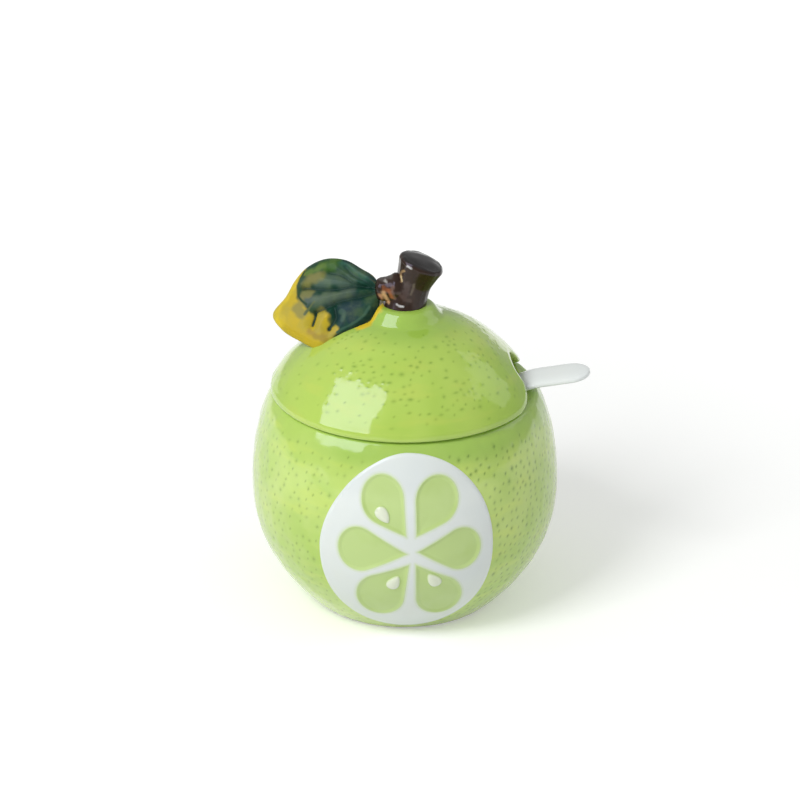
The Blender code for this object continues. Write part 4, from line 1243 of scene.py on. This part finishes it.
def spoon_skin():
    """One bent strip of porcelain, dished into a bowl at its lower end."""
    line = spoon_line()
    lengths = along(line)
    total = lengths[-1]
    distance = total * (0.5 - 0.5 * np.cos(np.linspace(0.0, math.pi, SPOON_ROWS)))
    spine = at_distances(line, lengths, distance)
    tangent = unit(np.gradient(spine, axis=0))
    flat = np.zeros(len(spine))
    upward = stacked(-tangent[:, 1], flat, tangent[:, 0])
    centre = stacked(spine[:, 0], flat, spine[:, 1])
    handle = HANDLE_WIDTH / 2
    from_end = np.minimum((total - distance) / handle, 1.0)
    round_end = handle * np.sqrt(np.maximum(1 - (1 - from_end) ** 2, SPOON_TIP))
    share = np.clip((distance - BOWL_RUN) / (total - BOWL_RUN - HANDLE_REACH), 0.0, 1.0)
    strip = np.minimum(blend(NECK_WIDTH, HANDLE_WIDTH, share) / 2, round_end)
    in_bowl = np.minimum(distance / BOWL_RUN, 1.0)
    from_middle = 2 * in_bowl - 1
    oval = BOWL_WIDTH / 2 * np.sqrt(np.maximum(1 - from_middle**2, SPOON_TIP))
    half = np.where(from_middle > 0, np.maximum(oval, strip), oval)
    dish = BOWL_DEPTH * np.sin(math.pi * in_bowl) ** BOWL_STEEPNESS
    thick = SPOON_THICKNESS / 2 * np.minimum(1.0, 2 * half / HANDLE_WIDTH) ** SPOON_THINNING
    turns = full_turn(SPOON_COLUMNS)
    across, upright = [
        np.sign(wave) * np.abs(wave) ** power
        for wave, power in zip((np.cos(turns), np.sin(turns)), SECTION_SQUARENESS)
    ]
    lift = thick[:, None] * upright + dish[:, None] * across**2
    sides = SIDEWAYS * (half[:, None] * across)[..., None]
    rings = centre[:, None] + sides + upward[:, None] * lift[..., None]
    piece = closed_skin("spoon_skin", rings, porcelain())
    dress(piece, "spoon", "porcelain", "spoon")


def studio_floor():
    """A pale floor that is white away from the object and keeps its shadow near it."""
    mesh = bpy.data.meshes.new("studio_floor")
    corners = [(x * FLOOR_REACH, y * FLOOR_REACH, 0) for x, y in ((-1, -1), (1, -1), (1, 1), (-1, 1))]
    mesh.from_pydata(corners, [], [(0, 1, 2, 3)])
    floor = placed("studio_floor", mesh)
    paper = Glaze("floor_paper", 0.9)
    rays = paper.node("ShaderNodeLightPath", {})
    seen = rays["Is Camera Ray"]
    for name in ("Is Glossy Ray", "Is Transmission Ray"):
        seen = maths(paper.tree, "MAXIMUM", seen, rays[name])
    place = paper.node("ShaderNodeTexCoord", {})["Object"]
    away = paper.node("ShaderNodeVectorMath", {0: place}, operation="LENGTH")["Value"]
    glow = maths(paper.tree, "MULTIPLY", paper.ramp(away, FLOOR_FADE, *FLOOR_GLOW), seen)
    paper.shade({"Base Color": FLOOR_COLOUR, "Specular IOR Level": 0.0})
    paper.shade({"Emission Color": WHITE, "Emission Strength": glow})
    mesh.materials.append(paper.material)


def white_world():
    """White to the eye, a softer white in reflections, and a fill on the object."""
    world = bpy.data.worlds.new("white_studio")
    bpy.context.scene.world = world
    world.use_nodes = True
    tree = world.node_tree
    rays = tree.nodes.new("ShaderNodeLightPath")
    level = FILL_LEVEL
    for name, seen in WORLD_LEVELS.items():
        level = maths(tree, "MULTIPLY_ADD", rays.outputs[name], seen - FILL_LEVEL, level)
    feed(tree, tree.nodes["Background"], {"Color": WHITE, "Strength": level})


def lamp(name, direction, distance, long_side, sides, power):
    """A softbox that looks at the lit point, with its long side along a given way."""
    towards = Vector(direction).normalized()
    data = bpy.data.lights.new(name, "AREA")
    data.shape = "RECTANGLE"
    data.size, data.size_y = sides
    data.energy = power
    made = placed(name, data)
    across = Vector(long_side).cross(towards).normalized()
    made.matrix_world = Matrix((across, towards.cross(across), towards)).transposed().to_4x4()
    made.location = LIT_POINT + towards * distance
    return made


def studio_lights():
    key = lamp("key_softbox", **KEY)
    key.data.color = KEY_COLOUR
    key.visible_diffuse = False
    front = lamp("front_lamp", **FRONT)
    front.visible_glossy = False
    lamp("side_reflector", **REFLECTOR)


def camera():
    data = bpy.data.cameras.new("photo_camera")
    data.lens = CAMERA_LENS
    data.shift_x, data.shift_y = CAMERA_SHIFT
    made = placed("photo_camera", data)
    back = np.array((0.0, -math.cos(CAMERA_ELEVATION), math.sin(CAMERA_ELEVATION)))
    made.location = CAMERA_AIM + back * CAMERA_DISTANCE
    made.rotation_euler = (math.pi / 2 - CAMERA_ELEVATION, 0.0, 0.0)
    bpy.context.scene.camera = made


bpy.context.scene.view_settings.view_transform = "Standard"
jar_skin()
slice_skins()
lid_skin()
bark = bark_glaze()
stem_skin(bark)
twig_skin(bark)
leaf_skin()
spoon_skin()
studio_floor()
white_world()
studio_lights()
camera()
